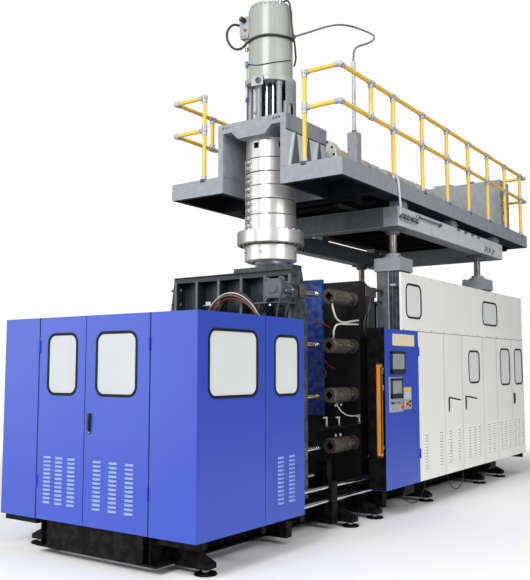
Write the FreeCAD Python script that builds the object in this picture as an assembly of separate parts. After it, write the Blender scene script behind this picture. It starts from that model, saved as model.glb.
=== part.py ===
"""Accumulator-head blow moulding machine: guard house, clamp bay, cabinets and extruder platform.

All sizes are millimetres. While it is being built, X runs along the machine from the outer face of the
guard's door end, Y across it from the outer face of the operator side, and Z up from the floor. Each
piece is exported in the machine's own frame: origin on the floor under the middle of the machine's envelope.
"""
import FreeCAD, Part
import math
import os

V = FreeCAD.Vector

# ------------------------------------------------------------------ driving dimensions
# whole machine
MACHINE_LENGTH = 8620.0       # to the outside of the rear rail
MACHINE_WIDTH = 2370.0
FRAME_HEIGHT = 310.0          # top of the base frame, underside of every guard and cabinet panel
SHEET = 2.0                   # steel sheet of guards and cabinets
ROUND_LIMITS = (15.0, 36.0, 100.0, 240.0, 400.0)   # radius up to which a round piece has
ROUND_FLATS = (8, 6, 8, 16, 24)                    # this many flats
DOOR_DEPTH = 30.0             # folded edge of a door leaf
DOOR_GAP = 1.5                # half of the gap between two neighbouring panels

# guard house at the door end
GUARD_LENGTH = 1540.0
GUARD_TOP = 2100.0
GUARD_SEAM = 915.0            # seam between the two operator-side panels
NEAR_DOOR_EDGE = 505.0        # hinge edge of the right leaf
DOOR_SPLIT = 1258.5           # where the two leaves meet
FAR_DOOR_EDGE = 1870.0        # hinge edge of the left leaf
CORNER_RETURN = 80.0          # flange of a corner panel beside a door
HEADER = 40.0                 # square tube over the doors

# windows: (near side, far side, sill, head) measured on the face that holds them
WINDOW_RADIUS = 45.0
CORNER_FLATS = 1              # flats that draw a rounded corner
PANE_LAP = 18.0
PANE_THICKNESS = 5.0
LEFT_LEAF_WINDOW = (1370.0, 1754.0, 1410.0, 1952.0)
RIGHT_LEAF_WINDOW = (649.0, 1129.0, 1410.0, 1952.0)
CORNER_WINDOW = (134.0, 796.0, 1408.0, 1962.0)
SIDE_WINDOW = (1053.0, 1439.0, 1400.0, 1937.0)

# louvres
LOUVRE_ROWS = 12
LOUVRE_PITCH = 35.5
LOUVRE_WIDTH = 95.0
LOUVRE_DEPTH = 10.0
LOUVRE_ROOT = 1.0             # how far the bank stands out at the top of each louvre
LOUVRE_BOTTOM = 452.0
LEFT_LEAF_LOUVRES = (1420.0, 1580.0, 1735.0)
RIGHT_LEAF_LOUVRES = (720.0, 910.0, 1100.0)
SIDE_LOUVRES = (1152.0, 1329.0)

# cabinets
CONTROL_START = 3200.0
CABINET_START = 4090.0
CABINET_END = 8100.0
CABINET_TOP = 2080.0
CONTROL_DEPTH = 215.0
CONTROL_DEEP_LENGTH = 500.0
UPPER_START = 3660.0
UPPER_TOP = 2760.0
POST = 40.0                   # square tube of the cabinet frame
UPPER_WINDOWS = ((3770.0, 4200.0, 2233.0, 2638.0), (6315.0, 6925.0, 2260.0, 2600.0))
# door: (left edge, right edge, window, louvre columns)
CABINET_DOORS = {
    "1": (4090.0, 4870.0, None, (4280.0, 4730.0)),
    "2": (4870.0, 5480.0, None, (5030.0, 5330.0)),
    "3": (5480.0, 6290.0, (5720.0, 6130.0, 1440.0, 1880.0), (5700.0, 5890.0, 6080.0)),
    "4": (6850.0, 7530.0, (7016.0, 7440.0, 1390.0, 1934.0), (6990.0, 7180.0, 7380.0)),
    "5": (7530.0, 8100.0, (7670.0, 8050.0, 1390.0, 1940.0), (7620.0, 7810.0, 8000.0)),
}
FIXED_PANEL_LOUVRES = (6460.0, 6660.0)   # the fixed panel fills the gap between doors 3 and 4

# swing handles: dish on the door, lever hinged at its upper end
HANDLE_TOP = 1262.0
HANDLE_LENGTH = 175.0
HANDLE_WIDTH = 28.0
DISH_DEPTH = 7.0
LEVER_THICKNESS = 13.0
LEVER_SHORTER = 22.0          # lever's tip above the dish's lower end
LEVER_DROP = 4.0              # lever's pivot below the dish's upper end
LEVER_MARGIN = 3.0            # dish seen on each side of the lever
LEVER_TAPER = 0.6             # width at the tip, of the width at the pivot
LEVER_OPEN_DEG = 80.0
GUARD_HANDLE_AT = 1196.0
CABINET_HANDLES = {"2": (5005.0, True), "3": (5590.0, True), "5": (7605.0, False)}

# hinge barrels
HINGE_RADIUS = 8.0
HINGE_SIDES = 8
HINGE_LENGTH = 110.0
HINGE_LEVELS = (640.0, 1840.0)

# base
BEAM_NEAR = 450.0             # outer edge of the near base beam
BEAM_WIDTH = 150.0
BEAM_HEIGHT = 250.0
BEAM_WEB = 12.0
BEAM_FLANGE = 16.0
BASE_START = 50.0
BASE_END = 8000.0
CROSS_BEAMS = (50.0, 1500.0, 2560.0, 3640.0, 5100.0, 6600.0, 7850.0)
CROSS_WIDTH = 150.0
ARM_WIDTH = 60.0
ARM_HEIGHT = 60.0
ARMS = (60.0, 860.0, 1470.0, 3670.0, 6470.0, 7900.0)
FEET = (335.0, 2705.0, 3260.0, 4630.0, 6500.0, 7340.0)
FOOT_LINE = 180.0             # foot centre from the operator side
FOOT_RADIUS = 95.0
FOOT_HEIGHT = 22.0
FOOT_STEM = 26.0
FOOT_SIDES = 8
STEM_HALF_WIDTH = 30.0
OUTRIGGER_WIDTH = 130.0
OUTRIGGER_END = 40.0          # height of the outrigger over its foot
OUTRIGGER_DROP = 5.0          # top of the outrigger below the panel arms

# clamp
CLAMP_CENTRE = 2700.0         # die axis, along the machine
DAYLIGHT = 1040.0             # between the open mould plates
PLATEN_NEAR = 340.0
PLATEN_BOTTOM = 350.0
PLATEN_TOP = 2640.0
PLATEN_PLATE = 70.0
PLATEN_DEPTH = 210.0
PLATEN_RIB = 36.0
PLATEN_RIBS = 6
REAR_PLATEN = 150.0
SHOE_INSET = 10.0
GUSSET_DEPTH = 300.0
GUSSET = 40.0
GUSSET_DROP = 200.0
MOULD_PLATE = 40.0
MOULD_PLATE_WIDTH = 750.0
MOULD_PLATE_BOTTOM = 1100.0
MOULD_PLATE_TOP = 2680.0
LOCK_LINE = 430.0
LOCK_LEVELS = (2430.0, 1890.0, 1350.0, 810.0)
LOCK_ROD_RADIUS = 36.0
LOCK_ROD_TIP_RADIUS = 29.0
LOCK_ROD_LENGTH = 345.0
LOCK_TIP_LENGTH = 130.0
LOCK_CYLINDER_RADIUS = 82.0
LOCK_CYLINDER_LENGTH = 400.0
LOCK_NECK_RADIUS = 46.0
LOCK_CONE = 35.0
LOCK_SOCKET = 88.0            # square socket that takes the rod
GUIDE_ROD_RADIUS = 26.0
GUIDE_ROD_LINE = 285.0
GUIDE_ROD_LEVELS = (290.0, 430.0)
GUIDE_BLOCKS = (1580.0, 2440.0, 3560.0)
GUIDE_BLOCK_LENGTH = 100.0
GUIDE_BLOCK_WALL = 24.0
FIT = 0.05                    # running clearance on a radius

# columns and lift
COLUMN = 300.0
COLUMN_WALL = 12.0
COLUMN_NEAR = 60.0
COLUMN_TOP = 2790.0
COLUMN_CAP = 340.0
COLUMN_CAP_TOP = 2950.0
COLUMN_STARTS = (3740.0, 6570.0)
JACK_RADIUS = 48.0
JACK_BOTTOM = 2500.0
LIFT_BOTTOM = 3325.0
LIFT_TOP = 3560.0
LIFT_NEAR = 60.0
LIFT_BEAM = 190.0
LIFT_START = 3717.0
LIFT_END = 7436.0
JACK_FLANGE = 240.0
JACK_FLANGE_THICKNESS = 28.0
SHOE_LENGTH = 180.0
LIFT_SHOE_INSET = 20.0
SHOES = (3850.0, 5450.0, 7150.0)

# platform
PLATFORM_START = 2310.0
RAIL_OVERHANG = 70.0          # outer face of the rear rail beyond the deck
PLATFORM_END = MACHINE_LENGTH - RAIL_OVERHANG
PLATFORM_NEAR = 10.0
PLATFORM_BOTTOM = 3650.0
DECK = 3845.0
NOTCH_WIDTH = 800.0
NOTCH_END = 3240.0
DECK_PLATE = 8.0
RIM = 240.0                   # side box beams of the platform
ARM_RIM = 60.0
JOIST = 90.0
POCKETS = 5

# railing
PIPE_RADIUS = 24.0
RAIL_LINE = 40.0              # posts from the operator side
MID_RAIL = 4450.0
TOP_RAIL = 4850.0
RAIL_POSTS = (4964.0, 4140.0, 3336.0, 2557.0, 1762.0, 970.0, 197.0)   # from the deck's rear end
RAIL_FRONT = 2335.0
RAIL_ARM_POST = 484.0
RAIL_STUB = 3030.0

# extruder
EXTRUDER_AXIS = 4350.0
BARREL_START = 3880.0
BARREL_RADIUS = 180.0
BARREL_FLANGE_RADIUS = 235.0
BARREL_FLANGE = 60.0
ADAPTER_RADIUS = 88.0
DRIVE_FROM_END = 440.0        # rear face of the casing from the deck's rear end
DRIVE_LENGTH = 420.0
DRIVE_END = PLATFORM_END - DRIVE_FROM_END
DRIVE_START = DRIVE_END - DRIVE_LENGTH
DRIVE_NEAR = 150.0
DRIVE_FAR = 1400.0
DRIVE_TOP = 4670.0
DRIVE_WALL = 60.0             # depth of the openings in the casing
DRIVE_FRAME = 110.0
DRIVE_OPENINGS = (3975.0, 4315.0)
DRIVE_OPENING = 200.0
SADDLES = (3290.0, 1990.0, 690.0)   # from the drive's casing
SADDLE = 80.0
SADDLE_WIDTH = 280.0

# head
DIE_BOTTOM = 2850.0
DIE_RADIUS = 300.0
DIE_TOP = 3040.0
CORE_RADIUS = 195.0
CORE_TIP_RADIUS = 175.0
CORE_CONE = 40.0
DIE_BORE = 215.0
CORE_BOTTOM = 2825.0
CORE_HEIGHT = 150.0
STEM_RADIUS = 50.0
STEM_LENGTH = 130.0
CORE_STROKE = 30.0
CORE_MARGIN = 10.0            # left above the core at the top of its stroke
FLANGE_RADIUS = 387.0
FLANGE_TOP = 3200.0
BAND_RADIUS = 300.0
BAND_JOINTS = (3378.0, 3552.0, 3711.0, 3866.0, 4026.0)
BAND_STEP = 7.0
SHOULDER_RADIUS = 288.0
SHOULDER_TOP = 4237.0
PORT = 65.0
PORTS = 6
PORT_DEPTH = 25.0
YOKE_START = 2310.0
YOKE_END = 3180.0
YOKE_BOTTOM = 4256.0
YOKE_STEP = 4345.0
YOKE_TOP = 4450.0
YOKE_LEG = 70.0
YOKE_PAD = 380.0
TOP_POSTS = 6
TOP_POST_CIRCLE = 235.0
TOP_POST_RADIUS = 32.0
CYLINDER_BOTTOM = 4930.0
CYLINDER_FLANGE_RADIUS = 300.0
CYLINDER_FLANGE = 60.0
CYLINDER_RADIUS = 260.0
CYLINDER_TOP = 5850.0
CYLINDER_CAP = 45.0
CYLINDER_CAP_RADIUS = 245.0

# hydraulics in the cabinets
TANK_START = 4300.0
TANK_LENGTH = 1900.0
TANK_TOP = 900.0
TANK_LID = 60.0               # height of the lid's slope

# controls on the control cabinet: left, right, low, high
UPPER_SCREEN = (3331.0, 3684.0, 1577.0, 1832.0)
PANEL_SCREEN = (3322.0, 3607.0, 1302.0, 1529.0)
OPERATOR_PANEL = (3292.0, 3637.0, 1152.0, 1544.0)
SCREEN_DEPTH = 24.0
BEZEL = 28.0
GLASS_RECESS = 3.0
PANEL_PLATE = 8.0
BUTTON_RADIUS = 12.0
BUTTON_HEIGHT = 12.0
BUTTON_TRAVEL = 4.0
STOP_HEAD_RADIUS = 20.0
SELECTOR_GRIP = 8.0
BUTTONS = {
    "selector_switch": (3345.0, 1255.0),
    "start_button": (3465.0, 1255.0),
    "emergency_stop": (3590.0, 1205.0),
}
CURTAIN = (3070.0, 680.0, 1700.0)   # start along the machine, low, high
CURTAIN_WIDTH = 70.0
CURTAIN_DEPTH = 40.0
CURTAIN_LUG = 40.0
CURTAIN_LUG_INSET = 12.0
CURTAIN_LUG_FROM_END = 100.0

# further clamp sizes
PLATEN_SPLAY = 60.0
PLATEN_SPLAY_HEIGHT = 420.0
PLATEN_WAIST = 1500.0
BOLT_SPACING = 1200.0
MOULD_BOLT_CENTRE = 1890.0
MOULD_BOLT_RADIUS = 11.0
LOCK_CYLINDER_OFFSET = 20.0
LOCK_SOCKET_DEPTH = 350.0
ACTUATOR_LINE = LOCK_LINE
ACTUATOR_LEVEL = LOCK_LEVELS[0]
ACTUATOR_RADIUS = 62.0
ACTUATOR_LENGTH = 230.0
ACTUATOR_PLATE = 190.0
ACTUATOR_COVER = 45.0
COLUMN_SEAT = 120.0
YOKE_WEB = 60.0
VALVE_CORNER = (2560.0, MACHINE_WIDTH / 2 + 215.0, 5560.0)
VALVE_SIZE = (190.0, 150.0, 270.0)

# hoses and the pole that carries them
HEAD_HOSE_RADIUS = 12.0
HOSE_SIDES = 6
BEND_STEP = 25.0              # turn between two sections of a hose's bend, degrees
POLE_RADIUS = 24.0
POLE_BOX = 120.0
POLE_BOX_TOP = 4330.0
HEAD_HOSE = (
    (3110.0, 300.0, 5180.0), (3110.0, 300.0, 5300.0), (3195.0, 300.0, 5390.0), (3330.0, 302.0, 5458.0),
    (3530.0, 310.0, 5555.0), (3744.0, 345.0, 5690.0), (3920.0, 450.0, 5830.0), (3975.0, 560.0, 5915.0),
    (3920.0, 650.0, 5960.0), (3750.0, 700.0, 5955.0), (3500.0, 745.0, 5890.0), (3221.0, 800.0, 5755.0),
    (3020.0, 880.0, 5640.0), (2870.0, 965.0, 5563.0),
)
CLAMP_HOSE_RADIUS = 19.0
CLAMP_HOSE = (
    (1860.0, 1338.0, 2000.0), (1860.0, 1338.0, 2220.0), (1860.0, 1040.0, 2500.0), (1860.0, 725.0, 2220.0),
    (1860.0, 725.0, 2000.0),
)
HOSE_GLAND = 90.0
HOSE_GLAND_RADIUS = 22.0

# ------------------------------------------------------------------ helpers
HALF_WIDTH = MACHINE_WIDTH / 2
LEVER_NEAR = -DISH_DEPTH - LEVER_THICKNESS
LEVER_LOW = HANDLE_TOP - HANDLE_LENGTH + LEVER_SHORTER
LEVER_HIGH = HANDLE_TOP - LEVER_DROP
LEVER_SWING = math.radians(LEVER_OPEN_DEG)
LEVER_OUT = (LEVER_HIGH - LEVER_LOW) * math.sin(LEVER_SWING) + LEVER_THICKNESS * math.cos(LEVER_SWING)
LEVER_REACH = -DISH_DEPTH - LEVER_OUT
ORIGIN = V(MACHINE_LENGTH / 2, (MACHINE_WIDTH + LEVER_REACH) / 2, 0)


def box(x0, x1, y0, y1, z0, z1):
    """A straight block between two corners."""
    return Part.makeBox(x1 - x0, y1 - y0, z1 - z0, V(x0, y0, z0))


def flats(radius):
    """Number of flats that draws a round piece of this radius, so that the whole machine stays light."""
    return next(sides for limit, sides in zip(ROUND_LIMITS, ROUND_FLATS) if radius <= limit)


def ring(radius, sides):
    """Corners of a regular outline round the Z axis, its flats touching the circle and one facing along X."""
    turn = 2 * math.pi / sides
    reach = radius / math.cos(turn / 2)
    return [V(reach * math.cos(turn * (k + 0.5)), reach * math.sin(turn * (k + 0.5)), 0) for k in range(sides)]


def rod(radius, start, end):
    """A round bar between two points."""
    run = end.sub(start)
    bar = prism(ring(radius, flats(radius)), V(0, 0, run.Length))
    bar.Placement = FreeCAD.Placement(start, FreeCAD.Rotation(V(0, 0, 1), run))
    return bar


def bore(radius, start, end):
    """A truly round cutter or shaft, for a fit."""
    run = end.sub(start)
    return Part.makeCylinder(radius, run.Length, start, run)


def prism(points, travel):
    """A closed outline of corner points, extruded."""
    wire = Part.makePolygon(points + [points[0]])
    return Part.Face(wire).extrude(travel)


def turned(profile, centre, axis):
    """A turned piece: (distance along the axis, radius) corners carried round the axis in flats."""
    sides = flats(max(radius for _, radius in profile))
    loops = [[point + V(0, 0, along) for point in ring(radius, sides)] for along, radius in profile]
    faces = []
    for lower, upper in zip(loops, loops[1:] + loops[:1]):
        for k in range(sides):
            corners = [lower[k], lower[k - 1], upper[k - 1], upper[k]]
            corners = [c for n, c in enumerate(corners) if c.sub(corners[n - 1]).Length > 1e-6]
            if len(corners) > 2:
                faces.append(Part.Face(Part.makePolygon(corners + [corners[0]])))
    piece = Part.Solid(Part.Shell(faces)).removeSplitter()
    if piece.Volume < 0:
        piece.reverse()
    piece.Placement = FreeCAD.Placement(centre, FreeCAD.Rotation(V(0, 0, 1), axis))
    return piece


def mirrored(shape):
    """The same piece on the far side of the machine."""
    return shape.mirror(V(0, HALF_WIDTH, 0), V(0, 1, 0))


def both_sides(shapes):
    return shapes + [mirrored(shape) for shape in shapes]


def rounded_opening(x0, x1, z0, z1, depth):
    """A rectangular cutter with rounded corners, through a panel that faces -Y."""
    r = WINDOW_RADIUS
    outline = []
    for x, z, first in ((x1 - r, z1 - r, 0), (x0 + r, z1 - r, 90), (x0 + r, z0 + r, 180), (x1 - r, z0 + r, 270)):
        for step in range(CORNER_FLATS + 1):
            angle = math.radians(first + 90 * step / CORNER_FLATS)
            outline.append(V(x + r * math.cos(angle), -depth, z + r * math.sin(angle)))
    return prism(outline, V(0, 2 * depth, 0))


def louvre_bank(column):
    """One column of pressed louvres on the face y = 0, each sloping out to a downward lip."""
    start = column - LOUVRE_WIDTH / 2
    top = LOUVRE_BOTTOM + LOUVRE_ROWS * LOUVRE_PITCH
    profile = [V(start, SHEET / 2, top), V(start, SHEET / 2, LOUVRE_BOTTOM)]
    for row in range(LOUVRE_ROWS):
        low = LOUVRE_BOTTOM + row * LOUVRE_PITCH
        profile += [V(start, -LOUVRE_ROOT, low), V(start, -LOUVRE_DEPTH, low)]
    profile.append(V(start, -LOUVRE_ROOT, top))
    return prism(profile, V(LOUVRE_WIDTH, 0, 0))


def tray(x0, x1, z0, z1, depth, window=None, louvres=()):
    """A folded sheet panel with its outer face at y = 0 and its edges turned back."""
    panel = box(x0, x1, 0, depth, z0, z1)
    panel = panel.cut(box(x0 + SHEET, x1 - SHEET, SHEET, depth + 1, z0 + SHEET, z1 - SHEET))
    if window:
        panel = panel.cut(rounded_opening(*window, depth))
    banks = [louvre_bank(column) for column in louvres]
    return panel.multiFuse(banks) if banks else panel


def pane(window):
    """A flat pane lapped behind its opening."""
    x0, x1, z0, z1 = window
    return box(x0 - PANE_LAP, x1 + PANE_LAP, SHEET, SHEET + PANE_THICKNESS, z0 - PANE_LAP, z1 + PANE_LAP)


def on_door_end(shape):
    """Turns a piece drawn on the operator side, x = distance from that side, onto the door end."""
    turned_shape = shape.mirror(V(0, 0, 0), V(1, 0, 0))
    turned_shape.rotate(V(0, 0, 0), V(0, 0, 1), -90)
    return turned_shape


def export(node, shapes):
    """Moves the node's solids into the machine's frame and writes them."""
    shapes = shapes if isinstance(shapes, list) else [shapes]
    solids = [solid for shape in shapes for solid in shape.Solids]
    for solid in solids:
        solid.translate(ORIGIN * -1)
    whole = solids[0] if len(solids) == 1 else Part.makeCompound(solids)
    whole.exportStep("parts/" + node + ".step")


# ------------------------------------------------------------------ base
def base_beam():
    """Rolled I-section along the machine, near side."""
    low = FRAME_HEIGHT - BEAM_HEIGHT
    near, far = BEAM_NEAR, BEAM_NEAR + BEAM_WIDTH
    web_near = (near + far - BEAM_WEB) / 2
    web_far = web_near + BEAM_WEB
    rows = (low, low + BEAM_FLANGE, FRAME_HEIGHT - BEAM_FLANGE, FRAME_HEIGHT)
    outline = [
        (near, rows[0]), (far, rows[0]), (far, rows[1]), (web_far, rows[1]),
        (web_far, rows[2]), (far, rows[2]), (far, rows[3]), (near, rows[3]),
        (near, rows[2]), (web_near, rows[2]), (web_near, rows[1]), (near, rows[1]),
    ]
    return prism([V(BASE_START, y, z) for y, z in outline], V(BASE_END - BASE_START, 0, 0))


def cross_beam(start):
    """Box member between the inner edges of the two base beams."""
    inner = BEAM_NEAR + BEAM_WIDTH
    low = FRAME_HEIGHT - BEAM_HEIGHT
    return box(start, start + CROSS_WIDTH, inner, MACHINE_WIDTH - inner, low, FRAME_HEIGHT)


def panel_arm(start):
    """Bracket under the panels, out from the base beam."""
    return box(start, start + ARM_WIDTH, 0, BEAM_NEAR, FRAME_HEIGHT - ARM_HEIGHT, FRAME_HEIGHT)


def outrigger(centre):
    """Tapered bracket from the base beam out over a levelling foot."""
    top = FRAME_HEIGHT - ARM_HEIGHT - OUTRIGGER_DROP
    seat = FOOT_HEIGHT + FOOT_STEM
    tip = FOOT_LINE - STEM_HALF_WIDTH * 2
    start = centre - OUTRIGGER_WIDTH / 2
    side = [(tip, seat), (BEAM_NEAR, seat), (BEAM_NEAR, top), (tip, seat + OUTRIGGER_END)]
    return prism([V(start, y, z) for y, z in side], V(OUTRIGGER_WIDTH, 0, 0))


def guide_block(start):
    """Block on the base beam's outer edge that holds the two guide rods."""
    wall = GUIDE_ROD_RADIUS + GUIDE_BLOCK_WALL
    top = max(GUIDE_ROD_LEVELS) + wall
    low = FRAME_HEIGHT - BEAM_HEIGHT
    near, far = GUIDE_ROD_LINE - wall, GUIDE_ROD_LINE + wall
    outline = [(near, low), (BEAM_NEAR, low), (BEAM_NEAR, FRAME_HEIGHT), (far, FRAME_HEIGHT), (far, top), (near, top)]
    block = prism([V(start, y, z) for y, z in outline], V(GUIDE_BLOCK_LENGTH, 0, 0))
    for level in GUIDE_ROD_LEVELS:
        block = block.cut(guide_rod(level))
    return block


def guide_rod(level):
    """Guide rod held between the two end blocks, through the one in the middle."""
    start = V(GUIDE_BLOCKS[0] + GUIDE_BLOCK_LENGTH, GUIDE_ROD_LINE, level)
    return rod(GUIDE_ROD_RADIUS, start, V(GUIDE_BLOCKS[-1], GUIDE_ROD_LINE, level))


def levelling_foot(centre):
    """Pad with its hexagonal jacking stem."""
    floor = V(centre, FOOT_LINE, 0)
    top = V(centre, FOOT_LINE, FOOT_HEIGHT)
    pad = prism([floor + corner for corner in ring(FOOT_RADIUS, FOOT_SIDES)], V(0, 0, FOOT_HEIGHT))
    return pad.fuse(prism([top + corner for corner in ring(STEM_HALF_WIDTH, 6)], V(0, 0, FOOT_STEM)))


def build_base():
    rails = both_sides([base_beam()])
    crosses = [cross_beam(start) for start in CROSS_BEAMS]
    brackets = [panel_arm(start) for start in ARMS] + [outrigger(centre) for centre in FEET]
    blocks = [guide_block(start) for start in GUIDE_BLOCKS]
    seats = [column_seat(start) for start in COLUMN_STARTS]
    export("base_frame", rails + crosses + both_sides(brackets + seats))
    export("guide_rod_blocks", both_sides(blocks))
    export("guide_rods", both_sides([guide_rod(level) for level in GUIDE_ROD_LEVELS]))
    export("levelling_feet", both_sides([levelling_foot(centre) for centre in FEET]))


# ------------------------------------------------------------------ guard house
def corner_sheet(edge, length):
    """Sheet folded round the guard's near corner: end face up to edge, side face up to length."""
    outline = [
        (0, edge), (0, 0), (length, 0), (length, DOOR_DEPTH), (length - SHEET, DOOR_DEPTH),
        (length - SHEET, SHEET), (SHEET, SHEET), (SHEET, edge - SHEET),
        (CORNER_RETURN, edge - SHEET), (CORNER_RETURN, edge),
    ]
    return prism([V(x, y, FRAME_HEIGHT) for x, y in outline], V(0, 0, GUARD_TOP - FRAME_HEIGHT))


def leaf_span(low, high):
    return low + DOOR_GAP, high - DOOR_GAP


def guard_leaf(low, high, window, louvres):
    low, high = leaf_span(low, high)
    leaf = tray(low, high, FRAME_HEIGHT + DOOR_GAP, GUARD_TOP, DOOR_DEPTH, window, louvres)
    return on_door_end(leaf)


def hinge_barrel(x, y, level):
    """Barrel whose edges touch the panels, so that a leaf clears it all the way round."""
    low = level - HINGE_LENGTH / 2
    turn = 2 * math.pi / HINGE_SIDES
    reach = [(HINGE_RADIUS * math.cos(turn * k), HINGE_RADIUS * math.sin(turn * k)) for k in range(HINGE_SIDES)]
    return prism([V(x + along, y + across, low) for along, across in reach], V(0, 0, HINGE_LENGTH))


def build_guard():
    near_corner = corner_sheet(NEAR_DOOR_EDGE, GUARD_SEAM)
    near_corner = near_corner.cut(rounded_opening(*CORNER_WINDOW, DOOR_DEPTH))
    far_corner = mirrored(corner_sheet(MACHINE_WIDTH - FAR_DOOR_EDGE, GUARD_LENGTH))
    side = tray(GUARD_SEAM, GUARD_LENGTH, FRAME_HEIGHT, GUARD_TOP, DOOR_DEPTH, SIDE_WINDOW, SIDE_LOUVRES)
    export("guard_corner_panel", near_corner)
    export("guard_far_panel", far_corner)
    export("guard_side_panel", side)
    back = CORNER_RETURN
    header = box(back - HEADER, back, NEAR_DOOR_EDGE, FAR_DOOR_EDGE, GUARD_TOP - HEADER, GUARD_TOP)
    export("guard_door_header", header)
    right_leaf = guard_leaf(NEAR_DOOR_EDGE, DOOR_SPLIT, RIGHT_LEAF_WINDOW, RIGHT_LEAF_LOUVRES)
    export("guard_door_right", right_leaf.fuse(on_door_end(handle_dish(GUARD_HANDLE_AT))))
    export("guard_door_handle", on_door_end(handle_lever(GUARD_HANDLE_AT)))
    export("guard_door_left", guard_leaf(DOOR_SPLIT, FAR_DOOR_EDGE, LEFT_LEAF_WINDOW, LEFT_LEAF_LOUVRES))
    export("guard_pane_right", on_door_end(pane(RIGHT_LEAF_WINDOW)))
    export("guard_pane_left", on_door_end(pane(LEFT_LEAF_WINDOW)))
    fixed = [pane(CORNER_WINDOW), pane(SIDE_WINDOW)] + [pane(window) for window in UPPER_WINDOWS]
    export("fixed_window_panes", fixed)
    barrels = [
        hinge_barrel(-HINGE_RADIUS, edge, level)
        for edge in (NEAR_DOOR_EDGE, FAR_DOOR_EDGE) for level in HINGE_LEVELS
    ]
    barrels += [hinge_barrel(CABINET_START, -HINGE_RADIUS, level) for level in HINGE_LEVELS]
    export("door_hinge_barrels", barrels)


# ------------------------------------------------------------------ cabinets
def handle_dish(at):
    """Shallow dish on the outer face, drawn on the operator side."""
    half = HANDLE_WIDTH / 2
    return box(at - half, at + half, -DISH_DEPTH, 0, HANDLE_TOP - HANDLE_LENGTH, HANDLE_TOP)


def handle_lever(at, is_open=False):
    """Tapered lever lying on its dish, or swung out about its upper end."""
    half = HANDLE_WIDTH / 2 - LEVER_MARGIN
    tip = half * LEVER_TAPER
    upper = [V(at - half, LEVER_NEAR, LEVER_HIGH), V(at + half, LEVER_NEAR, LEVER_HIGH)]
    lower = [V(at + tip, LEVER_NEAR, LEVER_LOW), V(at - tip, LEVER_NEAR, LEVER_LOW)]
    lever = prism(upper + lower, V(0, LEVER_THICKNESS, 0))
    if is_open:
        lever.rotate(V(at, -DISH_DEPTH, LEVER_HIGH), V(-1, 0, 0), LEVER_OPEN_DEG)
    return lever


def cabinet_door(name):
    left, right, window, louvres = CABINET_DOORS[name]
    left, right = leaf_span(left, right)
    door = tray(left, right, FRAME_HEIGHT + DOOR_GAP, CABINET_TOP - DOOR_GAP, DOOR_DEPTH, window, louvres)
    if name in CABINET_HANDLES:
        door = door.fuse(handle_dish(CABINET_HANDLES[name][0]))
    return door


def rear_shell():
    """Sheet folded round the rear end and the far side of the cabinets."""
    rear, far, back = CABINET_END, MACHINE_WIDTH, DOOR_DEPTH
    outline = [
        (rear, 0), (rear + SHEET, 0), (rear + SHEET, far), (UPPER_START, far),
        (UPPER_START, far - back), (UPPER_START + SHEET, far - back),
        (UPPER_START + SHEET, far - SHEET), (rear, far - SHEET),
    ]
    return prism([V(x, y, FRAME_HEIGHT) for x, y in outline], V(0, 0, UPPER_TOP - FRAME_HEIGHT))


def cabinet_frame():
    """Square-tube posts behind the panel joints, with rails and rear cross tubes."""
    near = DOOR_DEPTH
    far = MACHINE_WIDTH - SHEET - POST
    joints = [CABINET_DOORS[name][1] for name in ("1", "2", "3", "4")] + [CABINET_END - POST / 2]
    tubes = []
    for joint in joints:
        for y in (near, far):
            tubes.append(box(joint - POST / 2, joint + POST / 2, y, y + POST, FRAME_HEIGHT, UPPER_TOP))
    behind_first = COLUMN_STARTS[0] + COLUMN
    before_second = COLUMN_STARTS[1]
    bays = ((behind_first, before_second), (before_second + COLUMN, CABINET_END - POST))
    for level in (FRAME_HEIGHT, CABINET_TOP, UPPER_TOP - POST):
        for start, end in bays:
            tubes.append(box(start, end, near + POST, near + 2 * POST, level, level + POST))
    for level in (FRAME_HEIGHT, UPPER_TOP - POST):
        for start, end in bays:
            tubes.append(box(start, end, far - POST, far, level, level + POST))
        tubes.append(box(CABINET_END - POST, CABINET_END, near + POST, far, level, level + POST))
    return tubes


def build_cabinets():
    for name, (_, _, window, _) in CABINET_DOORS.items():
        export("cabinet_door_" + name, cabinet_door(name))
        if window:
            export("cabinet_pane_" + name, pane(window))
    for name, (at, is_open) in CABINET_HANDLES.items():
        export("cabinet_handle_" + name, handle_lever(at, is_open))
    left, right = CABINET_DOORS["3"][1], CABINET_DOORS["4"][0]
    fixed = tray(left, right, FRAME_HEIGHT, CABINET_TOP - DOOR_GAP, DOOR_DEPTH, None, FIXED_PANEL_LOUVRES)
    export("cabinet_fixed_panel", fixed)
    upper = tray(UPPER_START, CABINET_END, CABINET_TOP, UPPER_TOP, DOOR_DEPTH)
    for window in UPPER_WINDOWS:
        upper = upper.cut(rounded_opening(*window, DOOR_DEPTH))
    export("cabinet_upper_panel", upper)
    export("cabinet_rear_shell", rear_shell())
    export("cabinet_frame", cabinet_frame())
    export("hydraulic_tank", hydraulic_tank())


def hydraulic_tank():
    """Oil tank with a sloping lid, on the base beams inside the cabinets."""
    near, far = BEAM_NEAR, MACHINE_WIDTH - BEAM_NEAR
    outline = [
        (near, FRAME_HEIGHT), (far, FRAME_HEIGHT), (far, TANK_TOP - TANK_LID),
        (far - 2 * TANK_LID, TANK_TOP), (near + 2 * TANK_LID, TANK_TOP), (near, TANK_TOP - TANK_LID),
    ]
    return prism([V(TANK_START, y, z) for y, z in outline], V(TANK_LENGTH, 0, 0))


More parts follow.
